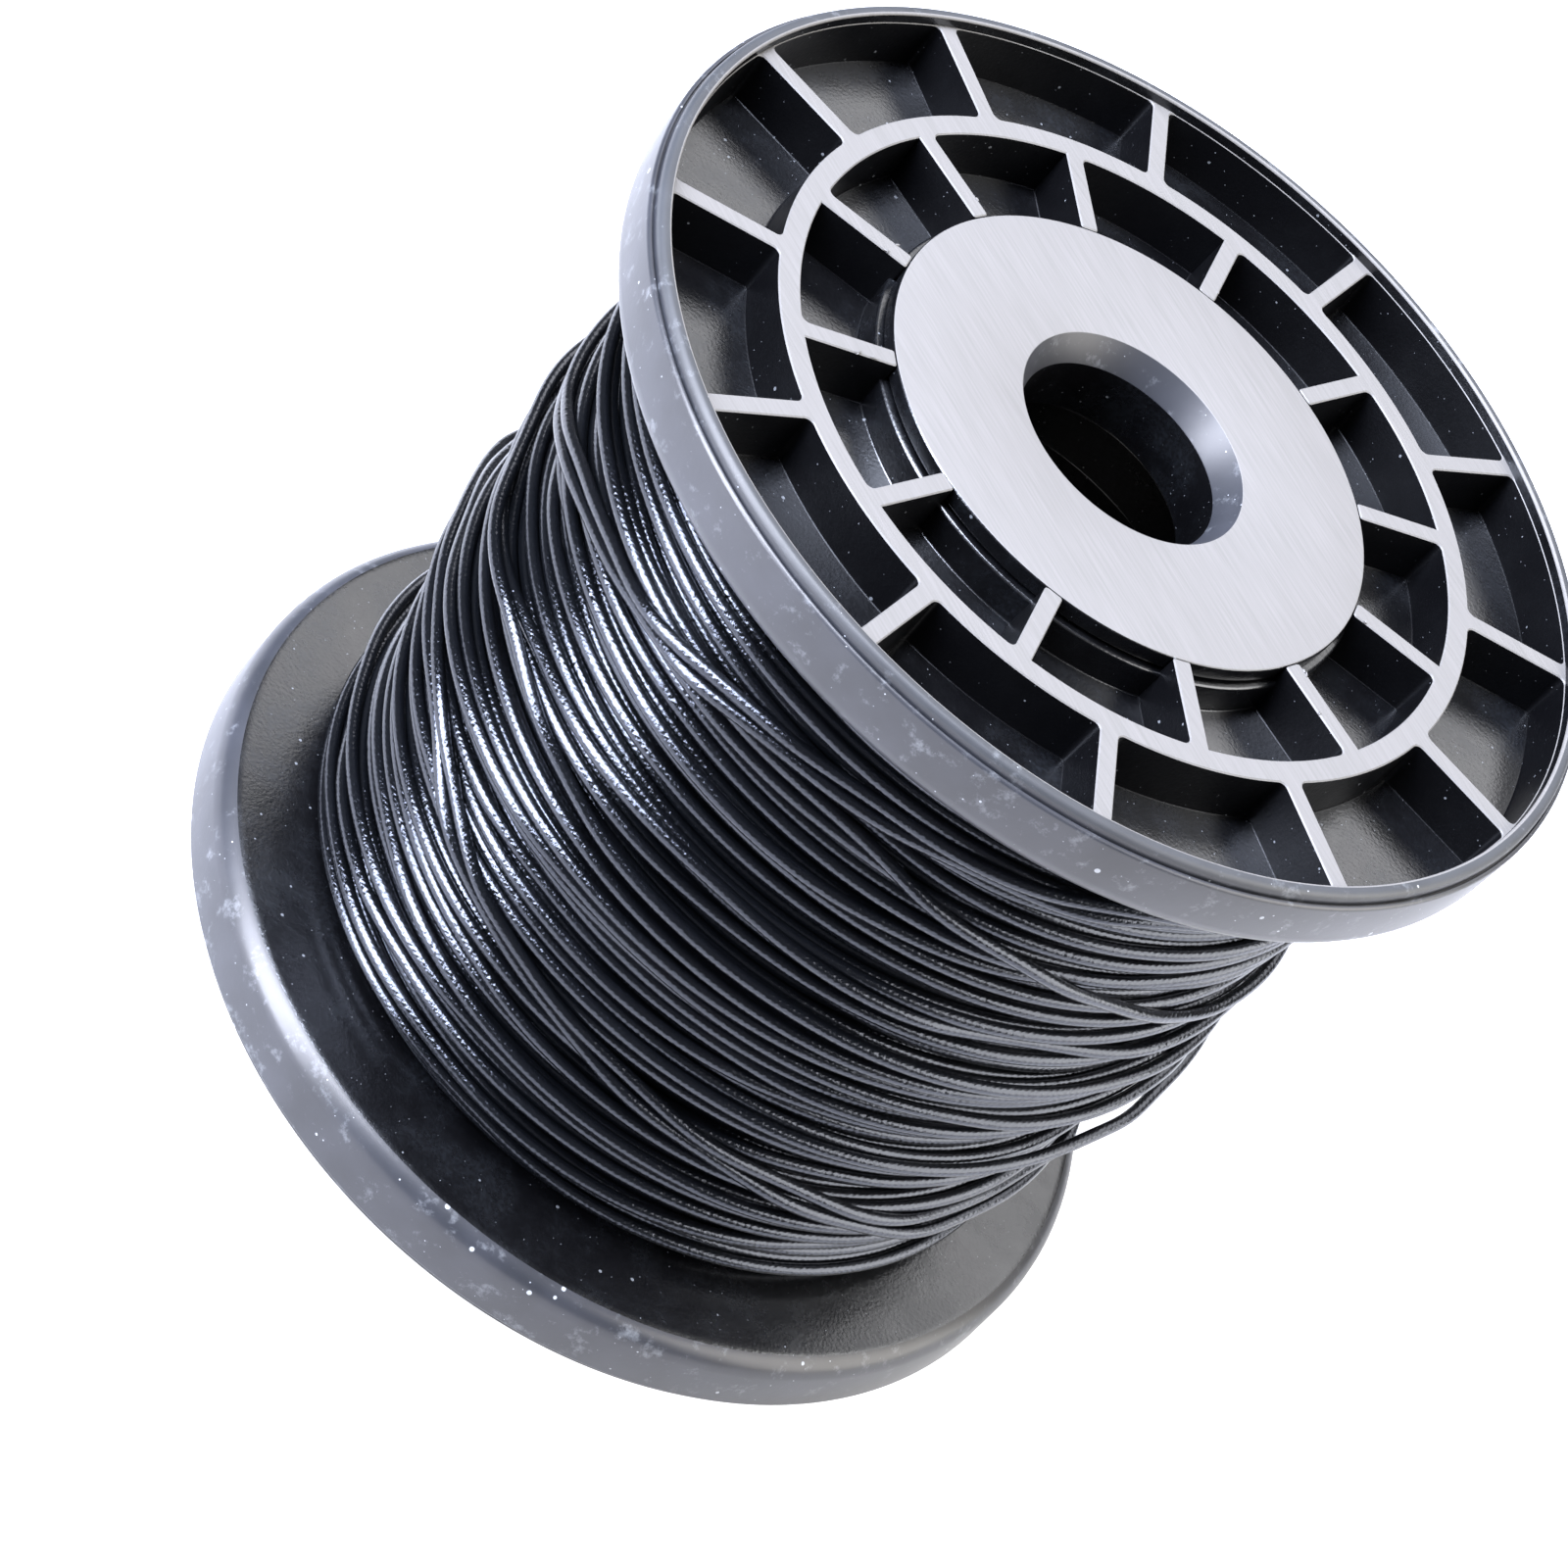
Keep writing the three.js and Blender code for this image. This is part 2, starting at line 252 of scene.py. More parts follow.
def mixed(tree, factor, first, second):
    """A colour between two others, nearer to the second as the factor rises."""
    mix = add_node(
        tree,
        "ShaderNodeMix",
        {"data_type": "RGBA"},
        {"Factor": factor, "A": first, "B": second},
    )
    return mix.outputs["Result"]


def bumped(tree, height, strength, depth, over=None):
    """Which way the surface faces where a pattern raises it, alone or over other bumps."""
    inputs = {"Strength": strength, "Distance": depth, "Height": height}
    if over is not None:
        inputs["Normal"] = over
    return add_node(tree, "ShaderNodeBump", inputs=inputs).outputs["Normal"]


def dust_specks(tree, place, cell, share):
    """1 in a small dot on a share of the cells of a pattern, and 0 elsewhere."""
    cells = add_node(tree, "ShaderNodeTexVoronoi", inputs={"Vector": place, "Scale": 1 / (cell * MM)})
    chance = add_node(tree, "ShaderNodeSeparateColor", inputs={"Color": cells.outputs["Color"]})
    size = ranged(tree, chance.outputs["Red"], (1 - share, 1.0), (0.0, SPECK_RADIUS))
    return combined(tree, "LESS_THAN", cells.outputs["Distance"], size)


def settled_dust(tree, place, coarse, fine):
    """Coarse and fine specks together, each given as a cell's size and the share of cells with one."""
    larger = dust_specks(tree, place, *coarse)
    smaller = dust_specks(tree, place, *fine)
    return combined(tree, "MAXIMUM", larger, smaller)


def moulded_abs(name, finish, gloss):
    """ABS, injection moulded, black: a satin gloss with cloudy patches and settled dust; the greyer black
    of the patches is partly real hazing and partly a painted sheen.

    Walls that drag along the mould as the part is pushed out are duller than floors; they get little of the
    greyer tone, so their darker black is painted shade in the pockets.
    """
    least_rough, most_rough, specular, haze_and_sheen = gloss
    material, tree, shader = new_material(name)
    place = add_node(tree, "ShaderNodeTexCoord").outputs["Object"]
    # cloudy patches of 9 mm where the gloss is duller and the black is greyer: partly real hazing, partly a
    # painted sheen
    clouds = noise(tree, place, scale=110.0, detail=9.0, roughness=0.72)
    greyed = ranged(tree, clouds, (0.45, 0.7), (0.0, haze_and_sheen))
    # fine moulded grain, drawn at 0.35 mm so that it shows
    grain = noise(tree, place, scale=2800.0, detail=2.0)
    grainy = ranged(tree, grain, (0.4, 0.65), (0.1, 1.0))
    # the grain breaks the greyer patches, and the painted sheen in them, into fine mottling
    hazed_and_sheened = combined(tree, "MULTIPLY", greyed, grainy)
    body = mixed(tree, hazed_and_sheened, finish.moulded_black, finish.moulded_haze_and_sheen)
    specks = settled_dust(tree, place, coarse=(1.4, 0.3), fine=(0.5, 0.35))
    link_input(tree, shader, "Base Color", mixed(tree, specks, body, finish.dust))
    dulled = ranged(tree, clouds, (0.3, 0.7), (least_rough, most_rough))
    link_input(tree, shader, "Roughness", dulled)
    shader.inputs["Specular IOR Level"].default_value = specular
    shader.inputs["IOR"].default_value = ABS_IOR
    link_input(tree, shader, "Normal", bumped(tree, grain, strength=0.8, depth=0.03 * MM))
    return material


def scuffed_abs(name, finish, dark, light, roughness):
    """The same ABS where it is handled and rubbed: matter, smeared and dusty, and greyer partly from wear
    and partly as a painted sheen.
    """
    material, tree, shader = new_material(name)
    place = add_node(tree, "ShaderNodeTexCoord").outputs["Object"]
    # greasy smears of about 6 mm
    smears = noise(tree, place, scale=160.0, detail=6.0)
    # both greys sit above the moulded black, partly scuffs and partly a painted sheen
    body = mixed(tree, smears, dark, light)
    # ragged pale rubs of 2 or 3 mm where the reel knocked against others
    rubs = noise(tree, place, scale=380.0, detail=9.0, roughness=0.75)
    rubbed = ranged(tree, rubs, (0.56, 0.8), (0.0, 0.55))
    specks = settled_dust(tree, place, coarse=(2.2, 0.4), fine=(0.7, 0.25))
    paled = combined(tree, "MAXIMUM", specks, rubbed)
    link_input(tree, shader, "Base Color", mixed(tree, paled, body, finish.pale_dust))
    shader.inputs["Roughness"].default_value = roughness
    shader.inputs["Specular Tint"].default_value = finish.band_gloss
    shader.inputs["IOR"].default_value = ABS_IOR
    # worn grain of about 0.5 mm
    grain = noise(tree, place, scale=1800.0, detail=3.0)
    link_input(tree, shader, "Normal", bumped(tree, grain, strength=0.3, depth=0.02 * MM))
    return material


def ground_abs(finish):
    """ABS ground flat on a belt: a matt face with fine straight scratches, whose light grey is partly the
    ground finish and partly a painted highlight of faces that meet the light.
    """
    material, tree, shader = new_material("ground_abs")
    place = add_node(tree, "ShaderNodeTexCoord").outputs["Object"]
    # the belt ran at this angle; scratches are 0.25 mm apart and about 8 mm long
    along = add_node(
        tree,
        "ShaderNodeMapping",
        {"vector_type": "TEXTURE"},
        {"Vector": place, "Rotation": (0, 0, finish.belt_angle), "Scale": (8 * MM, 0.25 * MM, 1)},
    )
    scratches = noise(tree, along.outputs["Vector"], scale=1.0, detail=3.0)
    body = mixed(tree, scratches, finish.ground_scratches_and_painted_highlight, finish.ground_face_and_painted_highlight)
    link_input(tree, shader, "Base Color", body)
    shader.inputs["Roughness"].default_value = GROUND_ROUGHNESS
    shader.inputs["IOR"].default_value = ABS_IOR
    link_input(tree, shader, "Normal", bumped(tree, scratches, strength=0.4, depth=0.03 * MM))
    return material


def twisted_polyester(winding, finish):
    """Co-polyester string, extruded with flat sides, stretched and twisted: hard, glossy, black.

    The flat sides wind round the string, so each one flashes in turn and the light is beaded.
    """
    material, tree, shader = new_material("twisted_polyester")
    place = add_node(tree, "ShaderNodeTexCoord").outputs["Object"]
    # dull and clear stretches of about 5 mm
    patches = noise(tree, place, scale=200.0, detail=3.0)
    link_input(tree, shader, "Roughness", ranged(tree, patches, (0.35, 0.7), (0.15, 0.22)))
    shader.inputs["Base Color"].default_value = finish.string_black
    shader.inputs["IOR"].default_value = POLYESTER_IOR
    shader.inputs["Specular Tint"].default_value = finish.string_gloss
    # drawn lines along the string spread the light across it
    drawn = add_node(tree, "ShaderNodeTangent", {"direction_type": "UV_MAP", "uv_map": STRING_MAP})
    link_input(tree, shader, "Tangent", drawn.outputs["Tangent"])
    shader.inputs["Anisotropic"].default_value = 0.9
    shader.inputs["Anisotropic Rotation"].default_value = 0.25
    # the map counts twists along the string and one turn round it; both move on to the next side
    unrolled = add_node(tree, "ShaderNodeUVMap", {"uv_map": STRING_MAP})
    split = add_node(tree, "ShaderNodeSeparateXYZ", inputs={"Vector": unrolled.outputs["UV"]})
    turned_by = combined(tree, "ADD", split.outputs["X"], split.outputs["Y"])
    side = combined(tree, "MULTIPLY", turned_by, float(FLAT_SIDES))
    from_edge = combined(tree, "PINGPONG", side, 0.5)
    from_middle = ranged(tree, from_edge, (0.0, 0.5), (1.0, 0.0))
    flattened = combined(tree, "POWER", from_middle, 2.0)
    flat_depth = winding.string_diameter / 2 * (1 - math.cos(math.pi / FLAT_SIDES))
    flats = bumped(tree, flattened, strength=finish.flatness, depth=flat_depth)
    # small dents and drag marks of about 0.5 mm
    marks = noise(tree, place, scale=2000.0, detail=3.0)
    dented = bumped(tree, marks, strength=1.0, depth=0.06 * MM, over=flats)
    link_input(tree, shader, "Normal", dented)
    return material


# Places in the list of a flange's materials, after the plain moulded one.
# the band's and the lip's greys are partly scuffs and rubs and partly a painted sheen and highlight
BAND_AND_PAINTED_SHEEN = 1
GROUND_AND_PAINTED_HIGHLIGHT = 2
LIP_AND_PAINTED_HIGHLIGHT = 3
# the pocket walls, duller, and painted darker as shade
WALL_AND_PAINTED_SHADE = 4


def flange_materials(finish):
    """The materials of a flange, each in the place that its faces name."""
    return [
        moulded_abs("moulded_abs", finish, MOULDED_GLOSS),
        scuffed_abs("scuffed_abs", finish, finish.band_dark_and_painted_sheen, finish.band_scuffs_and_painted_sheen, BAND_ROUGHNESS),
        ground_abs(finish),
        scuffed_abs("rubbed_abs", finish, finish.lip_dark_and_painted_highlight, finish.lip_rubs_and_painted_highlight, LIP_ROUGHNESS),
        moulded_abs("drawn_abs", finish, DRAWN_GLOSS_AND_SHADE),
    ]


# ------------------------------------------------------------------ flange

BAND_LEAN = 0.2  # how much smaller the band is at the string side
SHELF_DEPTH = 1.07  # lip plane to the shelf at the top of the band
SHELF_WIDTH = 0.42
SHELF_ROUND = 0.35
GROOVE_DEPTH = 1.3  # lip plane to the bottom of the groove between shelf and bead
GROOVE_DRAFT = 0.04
GROOVE_EDGE_ROUND = 0.08
GROOVE_ROUND = 0.04
BEAD_INSET = 0.6  # band to the outer side of the lip's bead
BEAD_ROUND = 0.6
BEAD_FOOT = 0.7  # lip plane to where the rubbed bead ends; its grey is partly a painted highlight
LIP_EDGE_ROUND = 0.25
LIP_WALL_DRAFT = 0.3
LIP_GROUND_AND_HIGHLIGHT_WIDTH = 0.2  # the belt touched the lip's inner edge this far out; its ground grey there is partly a painted highlight along the edge
LIP_GROUND_AND_HIGHLIGHT_DEPTH = 0.3
FLOOR_ROUND = 0.2
COLLAR_ROUND = 0.3
SURFACE_TOLERANCE = 0.05  # a face this near to a surface belongs to it


def flange_dish(sizes):
    """Rim, web and collar, with the lip plane at height 0 and the string side below."""
    bead_outside = FLANGE_RADIUS - BEAD_INSET
    shelf_inside = FLANGE_RADIUS - SHELF_WIDTH
    lip_wall_foot = LIP_INNER_RADIUS - LIP_WALL_DRAFT
    collar_top = HEAD_RECESS + HEAD_THICKNESS + SEAT_GAP
    return turned(
        [
            (SOCKET_RADIUS, -FLANGE_DEPTH, 0),
            (FLANGE_RADIUS - BAND_LEAN, -FLANGE_DEPTH, mm(sizes.edge_round)),
            (FLANGE_RADIUS, -SHELF_DEPTH, SHELF_ROUND),
            (shelf_inside, -SHELF_DEPTH, GROOVE_EDGE_ROUND),
            (shelf_inside - GROOVE_DRAFT, -GROOVE_DEPTH, GROOVE_ROUND),
            (bead_outside, -GROOVE_DEPTH, GROOVE_ROUND),
            (bead_outside, 0, BEAD_ROUND),
            (LIP_INNER_RADIUS, 0, LIP_EDGE_ROUND),
            (lip_wall_foot, -FLOOR_DEPTH, FLOOR_ROUND),
            (BARREL_RADIUS, -FLOOR_DEPTH, FLOOR_ROUND),
            (BARREL_RADIUS, -collar_top, COLLAR_ROUND),
            (SOCKET_RADIUS, -collar_top, 0),
        ]
    )


RIB_DRAFT = 0.2
RIB_FOOT_ROUND = 0.16
RIB_FOOT_STEPS = 2
RIB_TIP_GAP = 0.21  # between the top of an inner rib's tip and the plug's head
RIB_TIP_ROUND = 0.15
RIB_TOP_BEVEL = 0.12
RIB_ROOT = 0.5  # into the web
RIB_RIM_ROOT = 0.3  # into the rim
RIBS_PER_RING = 12
RIB_STEP = 2 * math.pi / RIBS_PER_RING
RIB_PHASE = math.radians(9)
MID_RING_RADIUS = 35.9
ARC_STEPS = 14  # facets of an arc from rib to rib
POCKET_CORNER_ROUND = 0.85  # in plan, at the tops


def polar(radius, angle):
    """A place in plan, at a radius and an angle round the Z axis."""
    return Vector((radius * math.cos(angle), radius * math.sin(angle), 0))


def rib_side(radius, half_thickness):
    """Angle between a rib's middle and its side, where the side meets a radius."""
    return math.asin(half_thickness / radius)


def draw_arc(bm, start, angle):
    """Draws an arc from a vertex round the Z axis and returns the vertex at its end."""
    made = bmesh.ops.spin(
        bm,
        geom=[start],
        cent=(0, 0, 0),
        axis=(0, 0, 1),
        dvec=(0, 0, 0),
        angle=angle,
        steps=ARC_STEPS,
    )
    return next(part for part in made["geom_last"] if isinstance(part, bmesh.types.BMVert))


def repeat_round(bm):
    """Repeats what is drawn for one rib at every other one and joins the ends."""
    bmesh.ops.spin(
        bm,
        geom=bm.verts[:] + bm.edges[:],
        cent=(0, 0, 0),
        axis=(0, 0, 1),
        dvec=(0, 0, 0),
        angle=2 * math.pi - RIB_STEP,
        steps=RIBS_PER_RING - 1,
        use_duplicate=True,
    )
    bmesh.ops.remove_doubles(bm, verts=bm.verts, dist=0.001)


def outer_pocket_outline(sizes, swell):
    """Outline of one outer pocket at its foot, where the ribs are thicker by a swell each side."""
    bm = bmesh.new()
    half = mm(sizes.rib_thickness) / 2 + swell
    inner = MID_RING_RADIUS + mm(sizes.ring_thickness) / 2 + swell
    outer = LIP_INNER_RADIUS - swell
    corner = POCKET_CORNER_ROUND - swell
    inner_side = rib_side(inner, half)
    outer_side = rib_side(outer, half)
    ring_start = bm.verts.new(polar(inner, inner_side))
    ring_end = draw_arc(bm, ring_start, RIB_STEP - 2 * inner_side)
    rim_start = bm.verts.new(polar(outer, outer_side))
    rim_end = draw_arc(bm, rim_start, RIB_STEP - 2 * outer_side)
    bm.edges.new((ring_start, rim_start))
    bm.edges.new((ring_end, rim_end))
    for vert in (ring_start, ring_end, rim_start, rim_end):
        round_corner(bm, vert, corner, math.pi / 2)
    bmesh.ops.rotate(bm, verts=bm.verts, matrix=Matrix.Rotation(RIB_STEP / 2, 3, "Z"))
    repeat_round(bm)
    return bm


def inner_rib_outline(sizes, swell):
    """Outline of the ring's inner wall and the free inner ribs, which stop short of the head."""
    bm = bmesh.new()
    half = mm(sizes.rib_thickness) / 2 + swell
    ring = MID_RING_RADIUS - mm(sizes.ring_thickness) / 2 - swell
    tip = HEAD_RADIUS + RIB_TIP_GAP - swell
    side = rib_side(ring, half)
    start = bm.verts.new(polar(ring, side))
    end = draw_arc(bm, start, RIB_STEP - 2 * side)
    next_start = bm.verts.new(polar(ring, RIB_STEP + side))
    tip_side = rib_side(tip, half)
    tip_before = bm.verts.new(polar(tip, RIB_STEP - tip_side))
    tip_after = bm.verts.new(polar(tip, RIB_STEP + tip_side))
    for pair in ((end, tip_before), (tip_before, tip_after), (tip_after, next_start)):
        bm.edges.new(pair)
    round_corner(bm, tip_before, swell + RIB_TIP_ROUND, math.pi / 2)
    round_corner(bm, tip_after, swell + RIB_TIP_ROUND, math.pi / 2)
    round_corner(bm, end, POCKET_CORNER_ROUND - swell, math.pi / 2)
    repeat_round(bm)
    return bm


def rib_grid(sizes):
    """Mid ring and both rows of ribs in one piece, rooted in the web and in the rim."""
    foot_height = -FLOOR_DEPTH
    rise = FLOOR_DEPTH - mm(sizes.rib_recess)
    swell = RIB_FOOT_ROUND + RIB_DRAFT + RIB_TOP_BEVEL
    bm = outer_pocket_outline(sizes, swell)
    join_into(bm, inner_rib_outline(sizes, swell))
    edge = LIP_INNER_RADIUS + RIB_RIM_ROOT + swell
    bmesh.ops.create_circle(bm, segments=TURN_STEPS, radius=edge)
    bmesh.ops.rotate(bm, verts=bm.verts, matrix=Matrix.Rotation(RIB_PHASE, 3, "Z"))
    bmesh.ops.triangle_fill(bm, edges=bm.edges[:], use_beauty=True)
    bmesh.ops.recalc_face_normals(bm, faces=bm.faces)
    if bm.faces[:][0].normal.z < 0:
        bmesh.ops.reverse_faces(bm, faces=bm.faces)
    bmesh.ops.translate(bm, verts=bm.verts, vec=(0, 0, foot_height - RIB_ROOT))
    made = bmesh.ops.extrude_face_region(bm, geom=bm.faces[:])
    lifted = [part for part in made["geom"] if isinstance(part, bmesh.types.BMVert)]
    bmesh.ops.translate(bm, verts=lifted, vec=(0, 0, RIB_ROOT))
    top = [part for part in made["geom"] if isinstance(part, bmesh.types.BMFace)]
    for i in range(RIB_FOOT_STEPS):
        before = math.pi / 2 * i / RIB_FOOT_STEPS
        after = math.pi / 2 * (i + 1) / RIB_FOOT_STEPS
        inwards = RIB_FOOT_ROUND * (math.sin(after) - math.sin(before))
        up = RIB_FOOT_ROUND * (math.cos(before) - math.cos(after))
        top, _ = raise_region(bm, top, inwards, up)
    top, _ = raise_region(bm, top, RIB_DRAFT, rise - RIB_FOOT_ROUND - RIB_TOP_BEVEL)
    top, bevel = raise_region(bm, top, RIB_TOP_BEVEL, RIB_TOP_BEVEL)
    # the ribs' sides and feet take the duller moulding, painted darker as shade in the pockets
    for face in bm.faces:
        face.material_index = WALL_AND_PAINTED_SHADE
    # rib tops and their bevels take the ground grey, partly a painted highlight of the faces that meet the
    # light
    for face in top + bevel:
        face.material_index = GROUND_AND_PAINTED_HIGHLIGHT
    return bm


def raise_region(bm, faces, inwards, up):
    """Steps a region's outline inwards, lifts it and fills it afresh.

    Returns the region's new faces and the faces made round it.
    """
    made = bmesh.ops.inset_region(
        bm, faces=faces, thickness=inwards, depth=up, use_boundary=True, use_even_offset=True
    )
    inside = set(faces)
    edges = {edge for face in faces for edge in face.edges}
    rim = [edge for edge in edges if sum(face in inside for face in edge.link_faces) == 1]
    bmesh.ops.delete(bm, geom=faces, context="FACES_KEEP_BOUNDARY")
    filled = bmesh.ops.triangle_fill(bm, edges=rim, use_beauty=True, normal=(0, 0, 1))
    top = [part for part in filled["geom"] if isinstance(part, bmesh.types.BMFace)]
    if top[0].normal.z < 0:
        bmesh.ops.reverse_faces(bm, faces=top)
    return top, made["faces"]


def join_into(bm, other):
    """Adds another shape's faces to a mesh and frees the other."""
    mesh = bpy.data.meshes.new("part")
    other.to_mesh(mesh)
    other.free()
    bm.from_mesh(mesh)
    bpy.data.meshes.remove(mesh)


BURR_SEED = 11
BURRS_PER_RIB = (0, 1, 1, 2, 3)
BURR_START = 0.8  # least distance of a burr from the head
BURR_REACH = 5.0  # how much further out the last ones lie
BURR_RAGGEDNESS = (0.6, 1.3)  # how far its corners stand out, as a share of its size
BURR_SIZES = ((0.12, 0.45), (0.08, 0.2), (0.06, 0.16))  # least and most, halved: along, across, up
BURR_LEAN = (-0.9, 0.9)  # radians from the rib's direction


def rib_burrs(sizes):
    """Pale shreds that the belt left on the edges of the inner ribs, near their tips."""
    bm = bmesh.new()
    chance = random.Random(BURR_SEED)
    half = mm(sizes.rib_thickness) / 2
    for i in range(RIBS_PER_RING):
        for _ in range(chance.choice(BURRS_PER_RIB)):
            shred = bmesh.ops.create_icosphere(bm, subdivisions=2, radius=1)["verts"]
            for vert in shred:
                vert.co *= chance.uniform(*BURR_RAGGEDNESS)
            size = [chance.uniform(*limits) for limits in BURR_SIZES]
            bmesh.ops.scale(bm, verts=shred, vec=size)
            lean = Matrix.Rotation(chance.uniform(*BURR_LEAN), 3, "Z")
            bmesh.ops.rotate(bm, verts=shred, matrix=lean)
            reach = HEAD_RADIUS + BURR_START + BURR_REACH * chance.random() ** 2
            place = (reach, chance.choice((-half, half)), -mm(sizes.rib_recess))
            bmesh.ops.translate(bm, verts=shred, vec=place)
            turn = Matrix.Rotation(RIB_PHASE + i * RIB_STEP, 3, "Z")
            bmesh.ops.rotate(bm, verts=shred, cent=(0, 0, 0), matrix=turn)
    for face in bm.faces:
        face.material_index = GROUND_AND_PAINTED_HIGHLIGHT
    return bm


def make_flange(end, sizes, finish):
    """The flange at one end, with its rubbed lip, scuffed band and ground tops, whose lighter greys are
    partly painted highlights and sheen.
    """
    bm = flange_dish(sizes)
    for face in bm.faces:
        middle = face.calc_center_median()
        reach = math.hypot(middle.x, middle.y)
        # the band and the lip's bead take greys that are partly scuffs and rubs and partly painted sheen
        # and highlight
        if reach > LIP_INNER_RADIUS + LIP_GROUND_AND_HIGHLIGHT_WIDTH:
            face.material_index = LIP_AND_PAINTED_HIGHLIGHT if middle.z > -BEAD_FOOT else BAND_AND_PAINTED_SHEEN
        # the lip's inner edge takes the ground grey, partly a painted highlight along the edge
        elif reach > LIP_INNER_RADIUS - SURFACE_TOLERANCE and middle.z > -LIP_GROUND_AND_HIGHLIGHT_DEPTH:
            face.material_index = GROUND_AND_PAINTED_HIGHLIGHT
    bmesh.ops.recalc_face_normals(bm, faces=bm.faces)
    join_into(bm, rib_grid(sizes))
    join_into(bm, rib_burrs(sizes))
    place_at_end(bm, end)
    piece = show(f"{end}_flange_moulding", bm, flange_materials(finish))
    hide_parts(f"{end}_flange")
    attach(piece, "root")


# ------------------------------------------------------------------ hub

BORE_RADIUS = 10.4
BORE_MOUTH_RADIUS = 11.83
BORE_MOUTH_DEPTH = 2.73
BORE_ROUND = 0.4
SLEEVE_RADIUS = 12.4
SLEEVE_END = 10  # lip plane to the inner end of the bore's sleeve
HEAD_WALL = 2.65  # thickness of the plug behind its ground face
SKIRT_WALL = 2
SKIRT_LENGTH = 14  # how far the skirt goes into the barrel
SKIRT_INNER_ROUND = 0.3
SKIRT_OUTER_ROUND = 0.5
CORNER_ROUND = 0.6
HEAD_ROUND = 0.15  # at the back of the head and round the bore's mouth

# Places in the list of a plug's materials, after the plain moulded one.
HUB_FACE = 1
HUB_MOUTH = 2


def hub_plug(end, sizes, finish):
    """Plug with its ground head, tapered bore mouth, bore sleeve and skirt; the head's light grey is partly
    a painted highlight, and the mouth's grey partly a painted sheen.
    """
    face = -HEAD_RECESS
    head_back = face - HEAD_THICKNESS
    wall_back = face - HEAD_WALL
    mouth_end = face - BORE_MOUTH_DEPTH
    skirt = SOCKET_RADIUS - SEAT_GAP
    skirt_end = -(FLANGE_DEPTH + SEAT_GAP + SKIRT_LENGTH)
    bm = turned(
        [
            (BORE_RADIUS, -SLEEVE_END, BORE_ROUND),
            (SLEEVE_RADIUS, -SLEEVE_END, BORE_ROUND),
            (SLEEVE_RADIUS, wall_back, CORNER_ROUND),
            (skirt - SKIRT_WALL, wall_back, CORNER_ROUND),
            (skirt - SKIRT_WALL, skirt_end, SKIRT_INNER_ROUND),
            (skirt, skirt_end, SKIRT_OUTER_ROUND),
            (skirt, head_back, 0),
            (HEAD_RADIUS, head_back, HEAD_ROUND),
            (HEAD_RADIUS, face, mm(sizes.head_edge_round)),
            (BORE_MOUTH_RADIUS, face, HEAD_ROUND),
            (BORE_RADIUS, mouth_end, BORE_ROUND),
        ]
    )
    mouth_limit = (BORE_MOUTH_RADIUS + SLEEVE_RADIUS) / 2
    for part in bm.faces:
        middle = part.calc_center_median()
        # the head's face takes the ground grey, partly a painted highlight of a face turned up to the light
        if middle.z > face - SURFACE_TOLERANCE:
            part.material_index = HUB_FACE
        # the bore's mouth takes the band's grey, partly a painted sheen
        elif middle.z > mouth_end and math.hypot(middle.x, middle.y) < mouth_limit:
            part.material_index = HUB_MOUTH
    place_at_end(bm, end)
    bore = moulded_abs("moulded_abs", finish, MOULDED_GLOSS)
    mouth = scuffed_abs("reamed_abs", finish, finish.band_dark_and_painted_sheen, finish.band_scuffs_and_painted_sheen, MOUTH_ROUGHNESS)
    piece = show(f"{end}_hub_plug", bm, [bore, ground_abs(finish), mouth])
    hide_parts(f"{end}_hub")
    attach(piece, "root")


# ------------------------------------------------------------------ string

FLAT_SIDES = 10  # of the string, as it leaves its die
STRING_MAP = "unrolled"  # UV map of the string: x in twists along it, y once round it
TUBE_FACETS = 8
SAMPLES = 144  # places round the reel where the layers are laid
FINE = 2  # string points for each of those places
FACE_BACK = FLANGE_DEPTH
FACE_FRONT = REEL_LENGTH - FLANGE_DEPTH
FACE_CLEARANCE = 0.1  # between a flange and the turn beside it
WHOLLY_SMOOTH = 180  # degrees; no edge of the string is sharp

# Outside of the wound package: height, radius.
PACKAGE = [
    (8.4, 41.6),
    (12, 42.4),
    (20, 42.6),
    (28, 42.0),
    (36, 42.9),
    (43, 43.6),
    (50, 43.4),
    (58, 43.1),
    (64, 43.4),
    (69, 43.7),
    (74, 44.3),
    (78.5, 45.2),
    (82.6, 45.0),
]
LAYERS_OVER_BASE = 4.7  # how deep the base of the seen layers lies under the package's outside

# Drift of the loose layers: size, wave along the reel, waves round it, phase.
DOWN_DRIFT = [
    (0.9, 19.0, 1, 0.4),
    (0.5, 11.0, -1, 2.1),
    (0.3, 7.5, 2, 1.3),
]
UP_DRIFT = [
    (0.8, 23.0, -1, 3.4),
    (0.5, 13.0, 1, 0.6),
    (0.3, 8.5, -2, 5.0),
]

